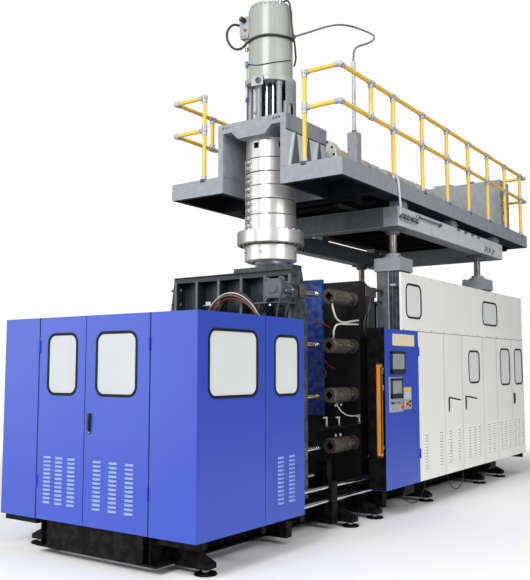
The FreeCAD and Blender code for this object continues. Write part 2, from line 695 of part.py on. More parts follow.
def control_button(kind):
    """A push button or the mushroom-headed stop in its hole, or the selector on the panel's face."""
    at, level = BUTTONS[kind]
    face = V(at, -PANEL_PLATE, level)
    out = V(0, -BUTTON_HEIGHT, 0)
    if kind == "selector_switch":
        half = SELECTOR_GRIP / 2
        high = BUTTON_RADIUS
        front = -PANEL_PLATE - BUTTON_HEIGHT
        grip = box(at - half, at + half, front - BUTTON_HEIGHT, front, level - high, level + high)
        return rod(BUTTON_RADIUS, face, face + out).fuse(grip)
    stem = rod(BUTTON_RADIUS, face + V(0, PANEL_PLATE - BUTTON_TRAVEL, 0), face + out)
    if kind == "emergency_stop":
        return stem.fuse(rod(STOP_HEAD_RADIUS, face + out, face + out * 2))
    return stem


def build_controls():
    """Shallow cabinet beside the clamp bay with its two screens and the operator panel."""
    deep_end = CONTROL_START + CONTROL_DEEP_LENGTH
    deep = box(CONTROL_START, deep_end, 0, CONTROL_DEPTH, FRAME_HEIGHT, CABINET_TOP)
    front = box(CONTROL_START, CABINET_START - DOOR_GAP, 0, DOOR_DEPTH, FRAME_HEIGHT, CABINET_TOP)
    export("control_cabinet", deep.fuse(front).removeSplitter())
    export("upper_screen", screen(UPPER_SCREEN))
    x0, x1, z0, z1 = OPERATOR_PANEL
    plate = box(x0, x1, -PANEL_PLATE, 0, z0, z1).fuse(screen(PANEL_SCREEN))
    for at, level in (BUTTONS["start_button"], BUTTONS["emergency_stop"]):
        plate = plate.cut(rod(BUTTON_RADIUS + FIT, V(at, -PANEL_PLATE, level), V(at, 0, level)))
    export("operator_panel", plate)
    for kind in BUTTONS:
        export(kind, control_button(kind))
    start, low, high = CURTAIN
    bar = box(start, start + CURTAIN_WIDTH, 0, CURTAIN_DEPTH, low, high)
    near, far = CURTAIN_LUG_INSET, CURTAIN_DEPTH - CURTAIN_LUG_INSET
    for level in (low + CURTAIN_LUG_FROM_END, high - CURTAIN_LUG_FROM_END):
        lug = box(start + CURTAIN_WIDTH, CONTROL_START, near, far, level - CURTAIN_LUG / 2, level + CURTAIN_LUG / 2)
        bar = bar.fuse(lug)
    export("light_curtain", bar)


def screen(place):
    """Display housing with its glass set back in a bezel."""
    x0, x1, z0, z1 = place
    front = -SCREEN_DEPTH
    hollow = box(x0 + BEZEL, x1 - BEZEL, front, front + GLASS_RECESS, z0 + 2 * BEZEL, z1 - BEZEL)
    return box(x0, x1, front, 0, z0, z1).cut(hollow)


# ------------------------------------------------------------------ clamp
FRONT_FACE = CLAMP_CENTRE - DAYLIGHT / 2
REAR_FACE = CLAMP_CENTRE + DAYLIGHT / 2
FRONT_PLATEN_FACE = FRONT_FACE - MOULD_PLATE
REAR_PLATEN_FACE = REAR_FACE + MOULD_PLATE
PLATEN_FAR = MACHINE_WIDTH - PLATEN_NEAR


def platen_shoe(x0, x1):
    """Foot that slides on the top flange of the near base beam."""
    near, far = BEAM_NEAR + SHOE_INSET, BEAM_NEAR + BEAM_WIDTH - SHOE_INSET
    return box(x0, x1, near, far, FRAME_HEIGHT, PLATEN_BOTTOM)


def front_platen():
    """Cast platen: a plate with a grid of ribs on its outer side and splayed ends."""
    back = FRONT_PLATEN_FACE - PLATEN_DEPTH
    near, far = PLATEN_NEAR, PLATEN_FAR
    outline = [
        (near + PLATEN_SPLAY, PLATEN_TOP), (far - PLATEN_SPLAY, PLATEN_TOP),
        (far, PLATEN_TOP - PLATEN_SPLAY_HEIGHT), (far, PLATEN_BOTTOM),
        (near, PLATEN_BOTTOM), (near, PLATEN_TOP - PLATEN_SPLAY_HEIGHT),
    ]
    platen = prism([V(back, y, z) for y, z in outline], V(PLATEN_DEPTH, 0, 0))
    first, last = near + PLATEN_SPLAY, far - PLATEN_SPLAY
    pitch = (last - first - PLATEN_RIB) / (PLATEN_RIBS - 1)
    levels = (PLATEN_BOTTOM + PLATEN_RIB, PLATEN_WAIST, PLATEN_TOP - PLATEN_RIB)
    pockets = []
    for bay in range(PLATEN_RIBS - 1):
        left = first + PLATEN_RIB + bay * pitch
        right = left + pitch - PLATEN_RIB
        for low, high in zip(levels, levels[1:]):
            pockets.append(box(back - 1, FRONT_PLATEN_FACE - PLATEN_PLATE, left, right, low, high - PLATEN_RIB / 2))
    platen = platen.cut(Part.makeCompound(pockets))
    shoes = both_sides([platen_shoe(back, FRONT_PLATEN_FACE)])
    glands = [hose_gland(CLAMP_HOSE[0], back), hose_gland(CLAMP_HOSE[-1], back)]
    return platen.multiFuse(shoes + glands).removeSplitter()


def hose_gland(end, back):
    """Block on a rib of the front platen, under one end of the clamp hose."""
    x, y, z = end
    return box(x - HOSE_GLAND / 2, back, y - HOSE_GLAND / 2, y + HOSE_GLAND / 2, z - HOSE_GLAND, z)


def rear_platen():
    """Thick platen with a tapering gusset on each edge behind it."""
    back = REAR_PLATEN_FACE + REAR_PLATEN
    plate = box(REAR_PLATEN_FACE, back, PLATEN_NEAR, PLATEN_FAR, PLATEN_BOTTOM, PLATEN_TOP)
    side = [
        V(back, PLATEN_NEAR, PLATEN_BOTTOM), V(back + GUSSET_DEPTH, PLATEN_NEAR, PLATEN_BOTTOM),
        V(back + GUSSET_DEPTH, PLATEN_NEAR, PLATEN_BOTTOM + GUSSET_DEPTH),
        V(back, PLATEN_NEAR, PLATEN_TOP - GUSSET_DROP),
    ]
    gusset = prism(side, V(0, GUSSET, 0))
    pieces = both_sides([gusset, platen_shoe(REAR_PLATEN_FACE, back)])
    return plate.multiFuse(pieces).removeSplitter()


def mould_plate(x0):
    near = HALF_WIDTH - MOULD_PLATE_WIDTH / 2
    far = HALF_WIDTH + MOULD_PLATE_WIDTH / 2
    plate = box(x0, x0 + MOULD_PLATE, near, far, MOULD_PLATE_BOTTOM, MOULD_PLATE_TOP)
    for level in (MOULD_BOLT_CENTRE - BOLT_SPACING / 2, MOULD_BOLT_CENTRE + BOLT_SPACING / 2):
        face = V(x0, HALF_WIDTH, level)
        plate = plate.cut(bore(MOULD_BOLT_RADIUS, face, face + V(MOULD_PLATE, 0, 0)))
    return plate


def lock_rod(level):
    """Stepped pull rod that enters the lock cylinder opposite."""
    neck = LOCK_ROD_LENGTH - LOCK_TIP_LENGTH
    profile = [(0, 0), (0, LOCK_ROD_RADIUS), (neck, LOCK_ROD_RADIUS), (neck, LOCK_ROD_TIP_RADIUS)]
    profile += [(LOCK_ROD_LENGTH, LOCK_ROD_TIP_RADIUS), (LOCK_ROD_LENGTH, 0)]
    return turned(profile, V(FRONT_PLATEN_FACE, LOCK_LINE, level), V(1, 0, 0))


def lock_cylinder(level):
    """Round lock cylinder on its neck, with a square socket in its open end."""
    neck = REAR_PLATEN_FACE - CLAMP_CENTRE - LOCK_CYLINDER_LENGTH - LOCK_CYLINDER_OFFSET
    mouth_at = -neck - LOCK_CYLINDER_LENGTH
    profile = [(0, 0), (0, LOCK_NECK_RADIUS), (-neck, LOCK_NECK_RADIUS), (-neck - LOCK_CONE, LOCK_CYLINDER_RADIUS)]
    profile += [(mouth_at, LOCK_CYLINDER_RADIUS), (mouth_at, 0)]
    body = turned(profile, V(REAR_PLATEN_FACE, LOCK_LINE, level), V(1, 0, 0))
    mouth = REAR_PLATEN_FACE + mouth_at
    half = LOCK_SOCKET / 2
    near, far = LOCK_LINE - half, LOCK_LINE + half
    socket = box(mouth, mouth + LOCK_SOCKET_DEPTH, near, far, level - half, level + half)
    return body.cut(socket)


def clamp_actuator():
    """Cylinder on the ribs of the front platen, in line with a lock rod, with its square end plate."""
    seat = FRONT_PLATEN_FACE - PLATEN_DEPTH
    end = seat - ACTUATOR_LENGTH
    barrel = rod(ACTUATOR_RADIUS, V(end, ACTUATOR_LINE, ACTUATOR_LEVEL), V(seat, ACTUATOR_LINE, ACTUATOR_LEVEL))
    half = ACTUATOR_PLATE / 2
    near, far = ACTUATOR_LINE - half, ACTUATOR_LINE + half
    return barrel.fuse(box(end - ACTUATOR_COVER, end, near, far, ACTUATOR_LEVEL - half, ACTUATOR_LEVEL + half))


def build_clamp():
    export("front_platen", front_platen())
    export("rear_platen", rear_platen())
    export("front_mould_plate", mould_plate(FRONT_PLATEN_FACE))
    export("rear_mould_plate", mould_plate(REAR_FACE))
    export("lock_rods", both_sides([lock_rod(level) for level in LOCK_LEVELS]))
    export("lock_cylinders", both_sides([lock_cylinder(level) for level in LOCK_LEVELS]))
    export("clamp_actuator", clamp_actuator())


# ------------------------------------------------------------------ columns and lift
def column(start):
    """Square hollow column with a cap that guides the jack screw."""
    near, far = COLUMN_NEAR, COLUMN_NEAR + COLUMN
    tube = box(start, start + COLUMN, near, far, FRAME_HEIGHT, COLUMN_TOP)
    wall = COLUMN_WALL
    tube = tube.cut(box(start + wall, start + COLUMN - wall, near + wall, far - wall, FRAME_HEIGHT, COLUMN_TOP))
    lip = (COLUMN_CAP - COLUMN) / 2
    cap = box(start - lip, start + COLUMN + lip, near - lip, far + lip, COLUMN_TOP, COLUMN_CAP_TOP)
    axis = V(start + COLUMN / 2, COLUMN_NEAR + COLUMN / 2, COLUMN_TOP)
    cap = cap.cut(rod(JACK_RADIUS + FIT, axis, axis + V(0, 0, COLUMN_CAP_TOP - COLUMN_TOP)))
    return tube.fuse(cap).removeSplitter()


def column_seat(start):
    """Block from the base beam out under a column."""
    return box(start, start + COLUMN, COLUMN_NEAR, BEAM_NEAR, FRAME_HEIGHT - COLUMN_SEAT, FRAME_HEIGHT)


def jack_screw(start):
    """Lifting screw with its square flange under the lift frame."""
    x, y = start + COLUMN / 2, COLUMN_NEAR + COLUMN / 2
    half = JACK_FLANGE / 2
    flange_low = LIFT_BOTTOM - JACK_FLANGE_THICKNESS
    screw = rod(JACK_RADIUS, V(x, y, JACK_BOTTOM), V(x, y, flange_low))
    return screw.fuse(box(x - half, x + half, y - half, y + half, flange_low, LIFT_BOTTOM))


def lift_frame():
    """Two long beams on the jacks, two cross beams between them, and the platform's slide shoes."""
    near, far = LIFT_NEAR, LIFT_NEAR + LIFT_BEAM
    beam = box(LIFT_START, LIFT_END, near, far, LIFT_BOTTOM, LIFT_TOP)
    low, high = near + LIFT_SHOE_INSET, far - LIFT_SHOE_INSET
    shoes = [box(x, x + SHOE_LENGTH, low, high, LIFT_TOP, PLATFORM_BOTTOM) for x in SHOES]
    crosses = [
        box(x, x + LIFT_BEAM, far, MACHINE_WIDTH - far, LIFT_BOTTOM, LIFT_TOP)
        for x in (LIFT_START, LIFT_END - LIFT_BEAM)
    ]
    return both_sides([beam] + shoes) + crosses


def build_lift():
    export("support_columns", both_sides([column(start) for start in COLUMN_STARTS]))
    export("jack_screws", both_sides([jack_screw(start) for start in COLUMN_STARTS]))
    export("lift_frame", lift_frame())


# ------------------------------------------------------------------ platform
def platform_deck():
    """Deck with box-beam sides, a notch round the head, and joists left between pockets below."""
    near, far = PLATFORM_NEAR, MACHINE_WIDTH - PLATFORM_NEAR
    notch_near, notch_far = HALF_WIDTH - NOTCH_WIDTH / 2, HALF_WIDTH + NOTCH_WIDTH / 2
    outline = [
        (PLATFORM_START, near), (PLATFORM_END, near), (PLATFORM_END, far), (PLATFORM_START, far),
        (PLATFORM_START, notch_far), (NOTCH_END, notch_far), (NOTCH_END, notch_near), (PLATFORM_START, notch_near),
    ]
    deck = prism([V(x, y, PLATFORM_BOTTOM) for x, y in outline], V(0, 0, DECK - PLATFORM_BOTTOM))
    low, high = PLATFORM_BOTTOM - 1, DECK - DECK_PLATE
    arm = box(PLATFORM_START + ARM_RIM, NOTCH_END, near + ARM_RIM, notch_near - ARM_RIM, low, high)
    pockets = both_sides([arm])
    first = NOTCH_END + ARM_RIM
    pitch = (PLATFORM_END - JOIST - first) / POCKETS
    for bay in range(POCKETS):
        start = first + bay * pitch + JOIST
        pockets.append(box(start, start + pitch - JOIST, near + RIM, far - RIM, low, high))
    return deck.cut(Part.makeCompound(pockets))


def railing():
    """Pipe rails and posts round three sides of the deck and along both front arms."""
    corner = PIPE_RADIUS / math.cos(math.pi / flats(PIPE_RADIUS))
    inner_line, inner_front = RAIL_LINE + 2 * corner, RAIL_FRONT + 2 * PIPE_RADIUS
    arm_end = RAIL_ARM_POST + PIPE_RADIUS
    below_top = TOP_RAIL - PIPE_RADIUS
    runs = [
        ((RAIL_FRONT - PIPE_RADIUS, RAIL_LINE, TOP_RAIL), (MACHINE_LENGTH, RAIL_LINE, TOP_RAIL)),
        ((inner_front - PIPE_RADIUS, inner_line, MID_RAIL), (MACHINE_LENGTH, inner_line, MID_RAIL)),
        ((RAIL_FRONT, RAIL_LINE + corner, TOP_RAIL), (RAIL_FRONT, arm_end, TOP_RAIL)),
        ((inner_front, inner_line + corner, MID_RAIL), (inner_front, arm_end, MID_RAIL)),
        ((RAIL_FRONT, RAIL_ARM_POST, DECK), (RAIL_FRONT, RAIL_ARM_POST, TOP_RAIL - corner)),
        ((RAIL_STUB, RAIL_LINE, MID_RAIL - PIPE_RADIUS), (RAIL_STUB, RAIL_LINE, below_top)),
    ]
    for back in RAIL_POSTS:
        runs.append(((PLATFORM_END - back, RAIL_LINE, DECK), (PLATFORM_END - back, RAIL_LINE, below_top)))
    pipes = both_sides([rod(PIPE_RADIUS, V(*start), V(*end)) for start, end in runs])
    x = MACHINE_LENGTH - PIPE_RADIUS
    for level, line in ((TOP_RAIL, RAIL_LINE + corner), (MID_RAIL, inner_line + corner)):
        pipes.append(rod(PIPE_RADIUS, V(x, line, level), V(x, MACHINE_WIDTH - line, level)))
    return pipes


def extruder_barrel():
    """Adapter, flange and covered barrel along the centre line, on three saddles."""
    length = DRIVE_START - YOKE_END
    flange = BARREL_START - YOKE_END
    profile = [(0, 0), (0, ADAPTER_RADIUS), (flange, ADAPTER_RADIUS), (flange, BARREL_FLANGE_RADIUS)]
    profile += [(flange + BARREL_FLANGE, BARREL_FLANGE_RADIUS), (flange + BARREL_FLANGE, BARREL_RADIUS)]
    profile += [(length, BARREL_RADIUS), (length, 0)]
    axis = V(YOKE_END, HALF_WIDTH, EXTRUDER_AXIS)
    barrel = turned(profile, axis, V(1, 0, 0))
    half = SADDLE_WIDTH / 2
    top = EXTRUDER_AXIS - BARREL_RADIUS / 2
    saddles = []
    for back in SADDLES:
        x = DRIVE_START - back
        saddles.append(box(x, x + SADDLE, HALF_WIDTH - half, HALF_WIDTH + half, DECK, top))
    return barrel.multiFuse(saddles)


def drive_housing():
    """Motor and gearbox casing with two openings in its operator-side face."""
    casing = box(DRIVE_START, DRIVE_END, DRIVE_NEAR, DRIVE_FAR, DECK, DRIVE_TOP)
    left, right = DRIVE_START + DRIVE_FRAME, DRIVE_END - DRIVE_FRAME
    for low in DRIVE_OPENINGS:
        high = low + DRIVE_OPENING
        casing = casing.cut(box(left, right, DRIVE_NEAR, DRIVE_NEAR + DRIVE_WALL, low, high))
    return casing


# ------------------------------------------------------------------ head
def accumulator_head():
    """Die, bolted flange, banded barrel and ported shoulder as one stack round the core."""
    pocket_top = CORE_BOTTOM + CORE_HEIGHT + CORE_STROKE + CORE_MARGIN
    stem_top = pocket_top + STEM_LENGTH
    stem_bore = STEM_RADIUS / math.cos(math.pi / flats(CORE_RADIUS)) + FIT
    profile = [
        (pocket_top, DIE_BORE), (DIE_BOTTOM, DIE_BORE), (DIE_BOTTOM, DIE_RADIUS), (DIE_TOP, DIE_RADIUS),
        (DIE_TOP, FLANGE_RADIUS), (FLANGE_TOP, FLANGE_RADIUS),
    ]
    low = FLANGE_TOP
    for number, joint in enumerate(BAND_JOINTS):
        radius = BAND_RADIUS if number % 2 == 0 else BAND_RADIUS - BAND_STEP
        profile += [(low, radius), (joint, radius)]
        low = joint
    profile += [(low, SHOULDER_RADIUS), (YOKE_BOTTOM, SHOULDER_RADIUS), (YOKE_BOTTOM, 0), (stem_top, 0)]
    profile += [(stem_top, stem_bore), (pocket_top, stem_bore)]
    head = turned(profile, V(CLAMP_CENTRE, HALF_WIDTH, 0), V(0, 0, 1))
    half = PORT / 2
    centre = V(CLAMP_CENTRE, HALF_WIDTH, 0)
    level = SHOULDER_TOP - PORT
    reach = SHOULDER_RADIUS + 2 * PORT
    for number in range(PORTS):
        port = box(SHOULDER_RADIUS - PORT_DEPTH, reach, -half, half, level - half, level + half)
        port.rotate(V(0, 0, 0), V(0, 0, 1), 360 / PORTS * number)
        port.translate(centre)
        head = head.cut(port)
    return head


def die_core():
    """Core of the annular die on its stem."""
    top = CORE_BOTTOM + CORE_HEIGHT
    profile = [
        (CORE_BOTTOM, 0), (CORE_BOTTOM, CORE_TIP_RADIUS), (CORE_BOTTOM + CORE_CONE, CORE_RADIUS), (top, CORE_RADIUS),
        (top, STEM_RADIUS), (top + STEM_LENGTH, STEM_RADIUS), (top + STEM_LENGTH, 0),
    ]
    return turned(profile, V(CLAMP_CENTRE, HALF_WIDTH, 0), V(0, 0, 1))


def head_yoke():
    """Welded bridge over the head: stepped cross beam with a triangulated leg on each arm of the deck."""
    inner = HALF_WIDTH - NOTCH_WIDTH / 2
    near, far = inner - YOKE_LEG, MACHINE_WIDTH - inner + YOKE_LEG
    pad_near, pad_far = HALF_WIDTH - YOKE_PAD / 2, HALF_WIDTH + YOKE_PAD / 2
    slope = YOKE_STEP - YOKE_BOTTOM
    outline = [
        (near, DECK), (near, YOKE_TOP), (far, YOKE_TOP), (far, DECK), (far - YOKE_LEG, DECK),
        (far - YOKE_LEG, YOKE_STEP), (pad_far + slope, YOKE_STEP), (pad_far, YOKE_BOTTOM),
        (pad_near, YOKE_BOTTOM), (pad_near - slope, YOKE_STEP), (near + YOKE_LEG, YOKE_STEP), (near + YOKE_LEG, DECK),
    ]
    yoke = prism([V(YOKE_START, y, z) for y, z in outline], V(YOKE_END - YOKE_START, 0, 0))
    low, high = DECK + YOKE_WEB, YOKE_STEP - YOKE_WEB
    middle = (YOKE_START + YOKE_END) / 2
    span = [
        (YOKE_START + YOKE_WEB, low, middle - YOKE_WEB, low, YOKE_START + YOKE_WEB, high),
        (YOKE_END - YOKE_WEB, low, middle + YOKE_WEB, low, YOKE_END - YOKE_WEB, high),
    ]
    for x0, z0, x1, z1, x2, z2 in span:
        corners = [V(x0, near - 1, z0), V(x1, near - 1, z1), V(x2, near - 1, z2)]
        yoke = yoke.cut(prism(corners, V(0, far - near + 2, 0)))
    return yoke


def head_posts():
    """Round posts that carry the hydraulic cylinder above the yoke."""
    posts = []
    for number in range(TOP_POSTS):
        angle = math.radians(360 / TOP_POSTS * number)
        x = CLAMP_CENTRE + TOP_POST_CIRCLE * math.cos(angle)
        y = HALF_WIDTH + TOP_POST_CIRCLE * math.sin(angle)
        posts.append(rod(TOP_POST_RADIUS, V(x, y, YOKE_TOP), V(x, y, CYLINDER_BOTTOM)))
    return posts


def hydraulic_cylinder():
    """Flanged cylinder over the head with its valve block on the far side."""
    shoulder = CYLINDER_BOTTOM + CYLINDER_FLANGE
    profile = [
        (CYLINDER_BOTTOM, 0), (CYLINDER_BOTTOM, CYLINDER_FLANGE_RADIUS), (shoulder, CYLINDER_FLANGE_RADIUS),
        (shoulder, CYLINDER_RADIUS), (CYLINDER_TOP, CYLINDER_RADIUS), (CYLINDER_TOP, CYLINDER_CAP_RADIUS),
        (CYLINDER_TOP + CYLINDER_CAP, CYLINDER_CAP_RADIUS), (CYLINDER_TOP + CYLINDER_CAP, 0),
    ]
    cylinder = turned(profile, V(CLAMP_CENTRE, HALF_WIDTH, 0), V(0, 0, 1))
    x0, y0, z0 = VALVE_CORNER
    length, width, height = VALVE_SIZE
    valve = box(x0, x0 + length, y0, y0 + width, z0, z0 + height)
    before, end = V(*HEAD_HOSE[-2]), V(*HEAD_HOSE[-1])
    inward = end.sub(before).normalize()
    gland = rod(HOSE_GLAND_RADIUS, end, end + inward * HOSE_GLAND)
    return cylinder.multiFuse([valve, gland])


def build_platform():
    export("platform_deck", platform_deck())
    export("guard_railing", railing())
    export("extruder_barrel", extruder_barrel())
    export("extruder_drive", drive_housing())
    export("head_yoke", head_yoke())
    export("accumulator_head", accumulator_head())
    export("die_core", die_core())
    export("head_posts", head_posts())
    export("hydraulic_cylinder", hydraulic_cylinder())
    export("hose_pole", hose_pole())


def hose_pole():
    """Pole on its box, up to the end of the head hose."""
    half = POLE_BOX / 2
    x, y, top = HEAD_HOSE[0]
    foot = box(x - half, x + half, y - half, y + half, DECK, POLE_BOX_TOP)
    return foot.fuse(rod(POLE_RADIUS, V(x, y, POLE_BOX_TOP), V(x, y, top)))


# ------------------------------------------------------------------ hoses
def smooth_tube(points, radius, name):
    """Tube on straight runs joined by tangent arcs, as large as the runs allow, lofted through its bends."""
    stations = [(points[0], points[1].sub(points[0]))]
    radii = []
    length = 0.0
    for before, corner, after in zip(points, points[1:], points[2:]):
        back, ahead = before.sub(corner), after.sub(corner)
        setback = 0.45 * min(back.Length, ahead.Length)
        back.normalize()
        ahead.normalize()
        half_turn = (math.pi - back.getAngle(ahead)) / 2
        bend = setback / math.tan(half_turn)
        radii.append(round(bend))
        start, end = corner + back * setback, corner + ahead * setback
        inward = (back + ahead).normalize()
        middle = corner + inward * (bend / math.cos(half_turn) - bend)
        arc = Part.Arc(start, middle, end).toShape()
        length += start.sub(stations[-1][0]).Length + arc.Length
        stations.append((start, back * -1))
        steps = max(1, round(2 * math.degrees(half_turn) / BEND_STEP))
        for step in range(1, steps + 1):
            at = arc.FirstParameter + (arc.LastParameter - arc.FirstParameter) * step / steps
            stations.append((arc.valueAt(at), arc.tangentAt(at)))
    stations.append((points[-1], points[-1].sub(points[-2])))
    length += points[-1].sub(stations[-2][0]).Length
    sections = []
    frame = FreeCAD.Rotation(V(0, 0, 1), stations[0][1])
    for centre, along in stations:
        heading = frame.multVec(V(0, 0, 1))
        axis = heading.cross(along)
        if axis.Length > 1e-6:
            frame = FreeCAD.Rotation(axis, math.degrees(heading.getAngle(along))).multiply(frame)
        outline = [centre + frame.multVec(corner) for corner in ring(radius, HOSE_SIDES)]
        sections.append(Part.makePolygon(outline + [outline[0]]))
    tube = Part.makeLoft(sections, True, True)
    area = HOSE_SIDES * radius ** 2 * math.tan(math.pi / HOSE_SIDES)
    print(name, "radii", radii, "length", round(length))
    print(name, "volume over section times length", round(abs(tube.Volume) / (area * length), 4))
    return tube


def build_hoses():
    head_route = [V(*point) for point in HEAD_HOSE]
    clamp_route = [V(*point) for point in CLAMP_HOSE]
    export("head_hose", smooth_tube(head_route, HEAD_HOSE_RADIUS, "head_hose"))
    export("clamp_hose", smooth_tube(clamp_route, CLAMP_HOSE_RADIUS, "clamp_hose"))


os.makedirs("parts", exist_ok=True)
build_base()
build_guard()
build_cabinets()
build_controls()
build_clamp()
build_lift()
build_platform()
build_hoses()
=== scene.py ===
"""Looks of the accumulator-head blow moulding machine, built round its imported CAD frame. Sizes are metres.

Pieces are drawn as the source draws them: X along the machine from the guard's door end, Y across it from the
operator side, Z up from the floor. They are then moved into the machine's own frame.
"""
import math

import bmesh
import bpy
from mathutils import Matrix, Vector, noise


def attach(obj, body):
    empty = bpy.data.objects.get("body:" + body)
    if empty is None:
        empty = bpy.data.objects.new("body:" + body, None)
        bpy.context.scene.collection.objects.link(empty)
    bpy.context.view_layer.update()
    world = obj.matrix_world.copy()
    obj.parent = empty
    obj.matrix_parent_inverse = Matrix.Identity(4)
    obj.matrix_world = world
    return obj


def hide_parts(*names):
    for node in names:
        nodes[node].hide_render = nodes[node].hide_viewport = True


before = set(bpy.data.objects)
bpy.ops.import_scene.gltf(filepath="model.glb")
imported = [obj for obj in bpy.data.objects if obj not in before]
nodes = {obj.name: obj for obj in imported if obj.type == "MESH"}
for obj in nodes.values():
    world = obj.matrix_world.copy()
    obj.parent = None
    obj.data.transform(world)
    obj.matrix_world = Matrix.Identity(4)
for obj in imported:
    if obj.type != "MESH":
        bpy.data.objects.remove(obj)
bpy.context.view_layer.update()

ORIGIN = Vector((4.31, 1.107003, 0.0))
WIDTH = 2.37
HALF_WIDTH = WIDTH / 2
SHIFT = Matrix.Translation(-ORIGIN)
STRAIGHT = Matrix.Identity(4)
FAR_SIDE = Matrix.Translation((0, WIDTH, 0)) @ Matrix.Diagonal((1, -1, 1, 1))
DOOR_END = Matrix(((0, 1, 0, 0), (1, 0, 0, 0), (0, 0, 1, 0), (0, 0, 0, 1)))


# ---------------- finishes
def shade(red, green, blue):
    """A colour as it is seen on a screen, 0 to 255, as the linear colour that a shader takes."""
    def linear(value):
        value /= 255
        return value / 12.92 if value <= 0.04045 else ((value + 0.055) / 1.055) ** 2.4
    return (linear(red), linear(green), linear(blue), 1.0)


class Group:
    """A shader node group with named inputs and outputs, and short calls to fill it."""

    def __init__(self, name, inputs, outputs):
        self.tree = bpy.data.node_groups.new(name, "ShaderNodeTree")
        for label, kind, value in inputs:
            socket = self.tree.interface.new_socket(name=label, in_out="INPUT",
                socket_type="NodeSocket" + kind)
            socket.default_value = value
        for label, kind in outputs:
            self.tree.interface.new_socket(name=label, in_out="OUTPUT", socket_type="NodeSocket" + kind)
        self.given = self.tree.nodes.new("NodeGroupInput").outputs
        self.result = self.tree.nodes.new("NodeGroupOutput").inputs

    def node(self, kind, values=(), **settings):
        node = self.tree.nodes.new("ShaderNode" + kind)
        for key, value in settings.items():
            setattr(node, key, value)
        for key, value in dict(values).items():
            if isinstance(value, bpy.types.NodeSocket):
                self.tree.links.new(value, node.inputs[key])
            else:
                node.inputs[key].default_value = value
        return node

    def join(self, source, target):
        self.tree.links.new(source, target)

    def stretched(self, factors):
        """Object coordinates, scaled differently along each axis."""
        place = self.node("TexCoord").outputs["Object"]
        return self.node("Mapping", {"Vector": place, "Scale": factors}).outputs["Vector"]

    def clouds(self, scale, detail=4.0, vector=None):
        values = {"Scale": scale, "Detail": detail}
        values["Vector"] = vector if vector else self.node("TexCoord").outputs["Object"]
        return self.node("TexNoise", values).outputs["Fac"]

    def spread(self, value, low, high, to_low=0.0, to_high=1.0):
        values = {"Value": value, "From Min": low, "From Max": high, "To Min": to_low, "To Max": to_high}
        return self.node("MapRange", values).outputs["Result"]

    def maths(self, operation, first, second):
        node = self.node("Math", operation=operation)
        for number, value in enumerate((first, second)):
            if isinstance(value, bpy.types.NodeSocket):
                self.join(value, node.inputs[number])
            else:
                node.inputs[number].default_value = value
        return node.outputs[0]

    def mix(self, mask, first, second):
        node = self.node("Mix", data_type="RGBA")
        for name, value in (("Factor_Float", mask), ("A_Color", first), ("B_Color", second)):
            socket = next(s for s in node.inputs if s.identifier == name)
            if isinstance(value, bpy.types.NodeSocket):
                self.join(value, socket)
            else:
                socket.default_value = value
        return next(s for s in node.outputs if s.identifier == "Result_Color")


GREY = (0.5, 0.5, 0.5, 1.0)


def mottling():
    """Slow clouding of colour and gloss, as paint, castings and sheet have."""
    g = Group(
        "clouded_finish",
        (("Colour", "Color", GREY), ("Stain", "Color", GREY), ("Scale", "Float", 3.0),
            ("Amount", "Float", 0.3),
            ("Roughness", "Float", 0.5), ("Gloss change", "Float", 0.1)),
        (("Colour", "Color"), ("Roughness", "Float")),
    )
    cloud = g.clouds(g.given["Scale"], 5.0)
    mask = g.maths("MULTIPLY", g.spread(cloud, 0.38, 0.72), g.given["Amount"])
    g.join(g.mix(mask, g.given["Colour"], g.given["Stain"]), g.result["Colour"])
    change = g.maths("MULTIPLY", g.maths("SUBTRACT", cloud, 0.5), g.given["Gloss change"])
    g.join(g.maths("ADD", g.given["Roughness"], change), g.result["Roughness"])
    return g.tree


def grain():
    """Fine bump of powder coat, orange peel, cast skin or brushed sheet."""
    g = Group(
        "fine_grain",
        (("Scale", "Float", 300.0), ("Strength", "Float", 0.2), ("Depth", "Float", 0.001),
            ("Along", "Vector", (1, 1, 1))),
        (("Normal", "Vector"),),
    )
    place = g.node("TexCoord").outputs["Object"]
    place = g.node("VectorMath", {0: place, 1: g.given["Along"]}, operation="MULTIPLY").outputs[0]
    height = g.clouds(g.given["Scale"], 3.0, place)
    bump = g.node("Bump", {"Strength": g.given["Strength"], "Distance": g.given["Depth"], "Height": height})
    g.join(bump.outputs["Normal"], g.result["Normal"])
    return g.tree


def streaks():
    """Runs of oil or dust down an upright face."""
    g = Group(
        "runs_down",
        (("Colour", "Color", GREY), ("Run", "Color", GREY), ("Scale", "Float", 8.0),
            ("Amount", "Float", 0.3)),
        (("Colour", "Color"),),
    )
    fine = g.clouds(g.given["Scale"], 4.0, g.stretched((1.0, 1.0, 0.06)))
    broad = g.clouds(1.3, 2.0)
    mask = g.maths("MULTIPLY", g.spread(fine, 0.5, 0.75), g.spread(broad, 0.35, 0.65))
    mask = g.maths("MULTIPLY", mask, g.given["Amount"])
    g.join(g.mix(mask, g.given["Colour"], g.given["Run"]), g.result["Colour"])
    return g.tree


def edge_wear():
    """Paint rubbed thin on edges and corners."""
    g = Group(
        "worn_edges",
        (("Colour", "Color", GREY), ("Bare", "Color", GREY), ("Amount", "Float", 0.5)),
        (("Colour", "Color"), ("Mask", "Float")),
    )
    edge = g.spread(g.node("NewGeometry").outputs["Pointiness"], 0.53, 0.6)
    patchy = g.spread(g.clouds(14.0, 4.0), 0.42, 0.62)
    mask = g.maths("MULTIPLY", g.maths("MULTIPLY", edge, patchy), g.given["Amount"])
    g.join(g.mix(mask, g.given["Colour"], g.given["Bare"]), g.result["Colour"])
    g.join(mask, g.result["Mask"])
    return g.tree


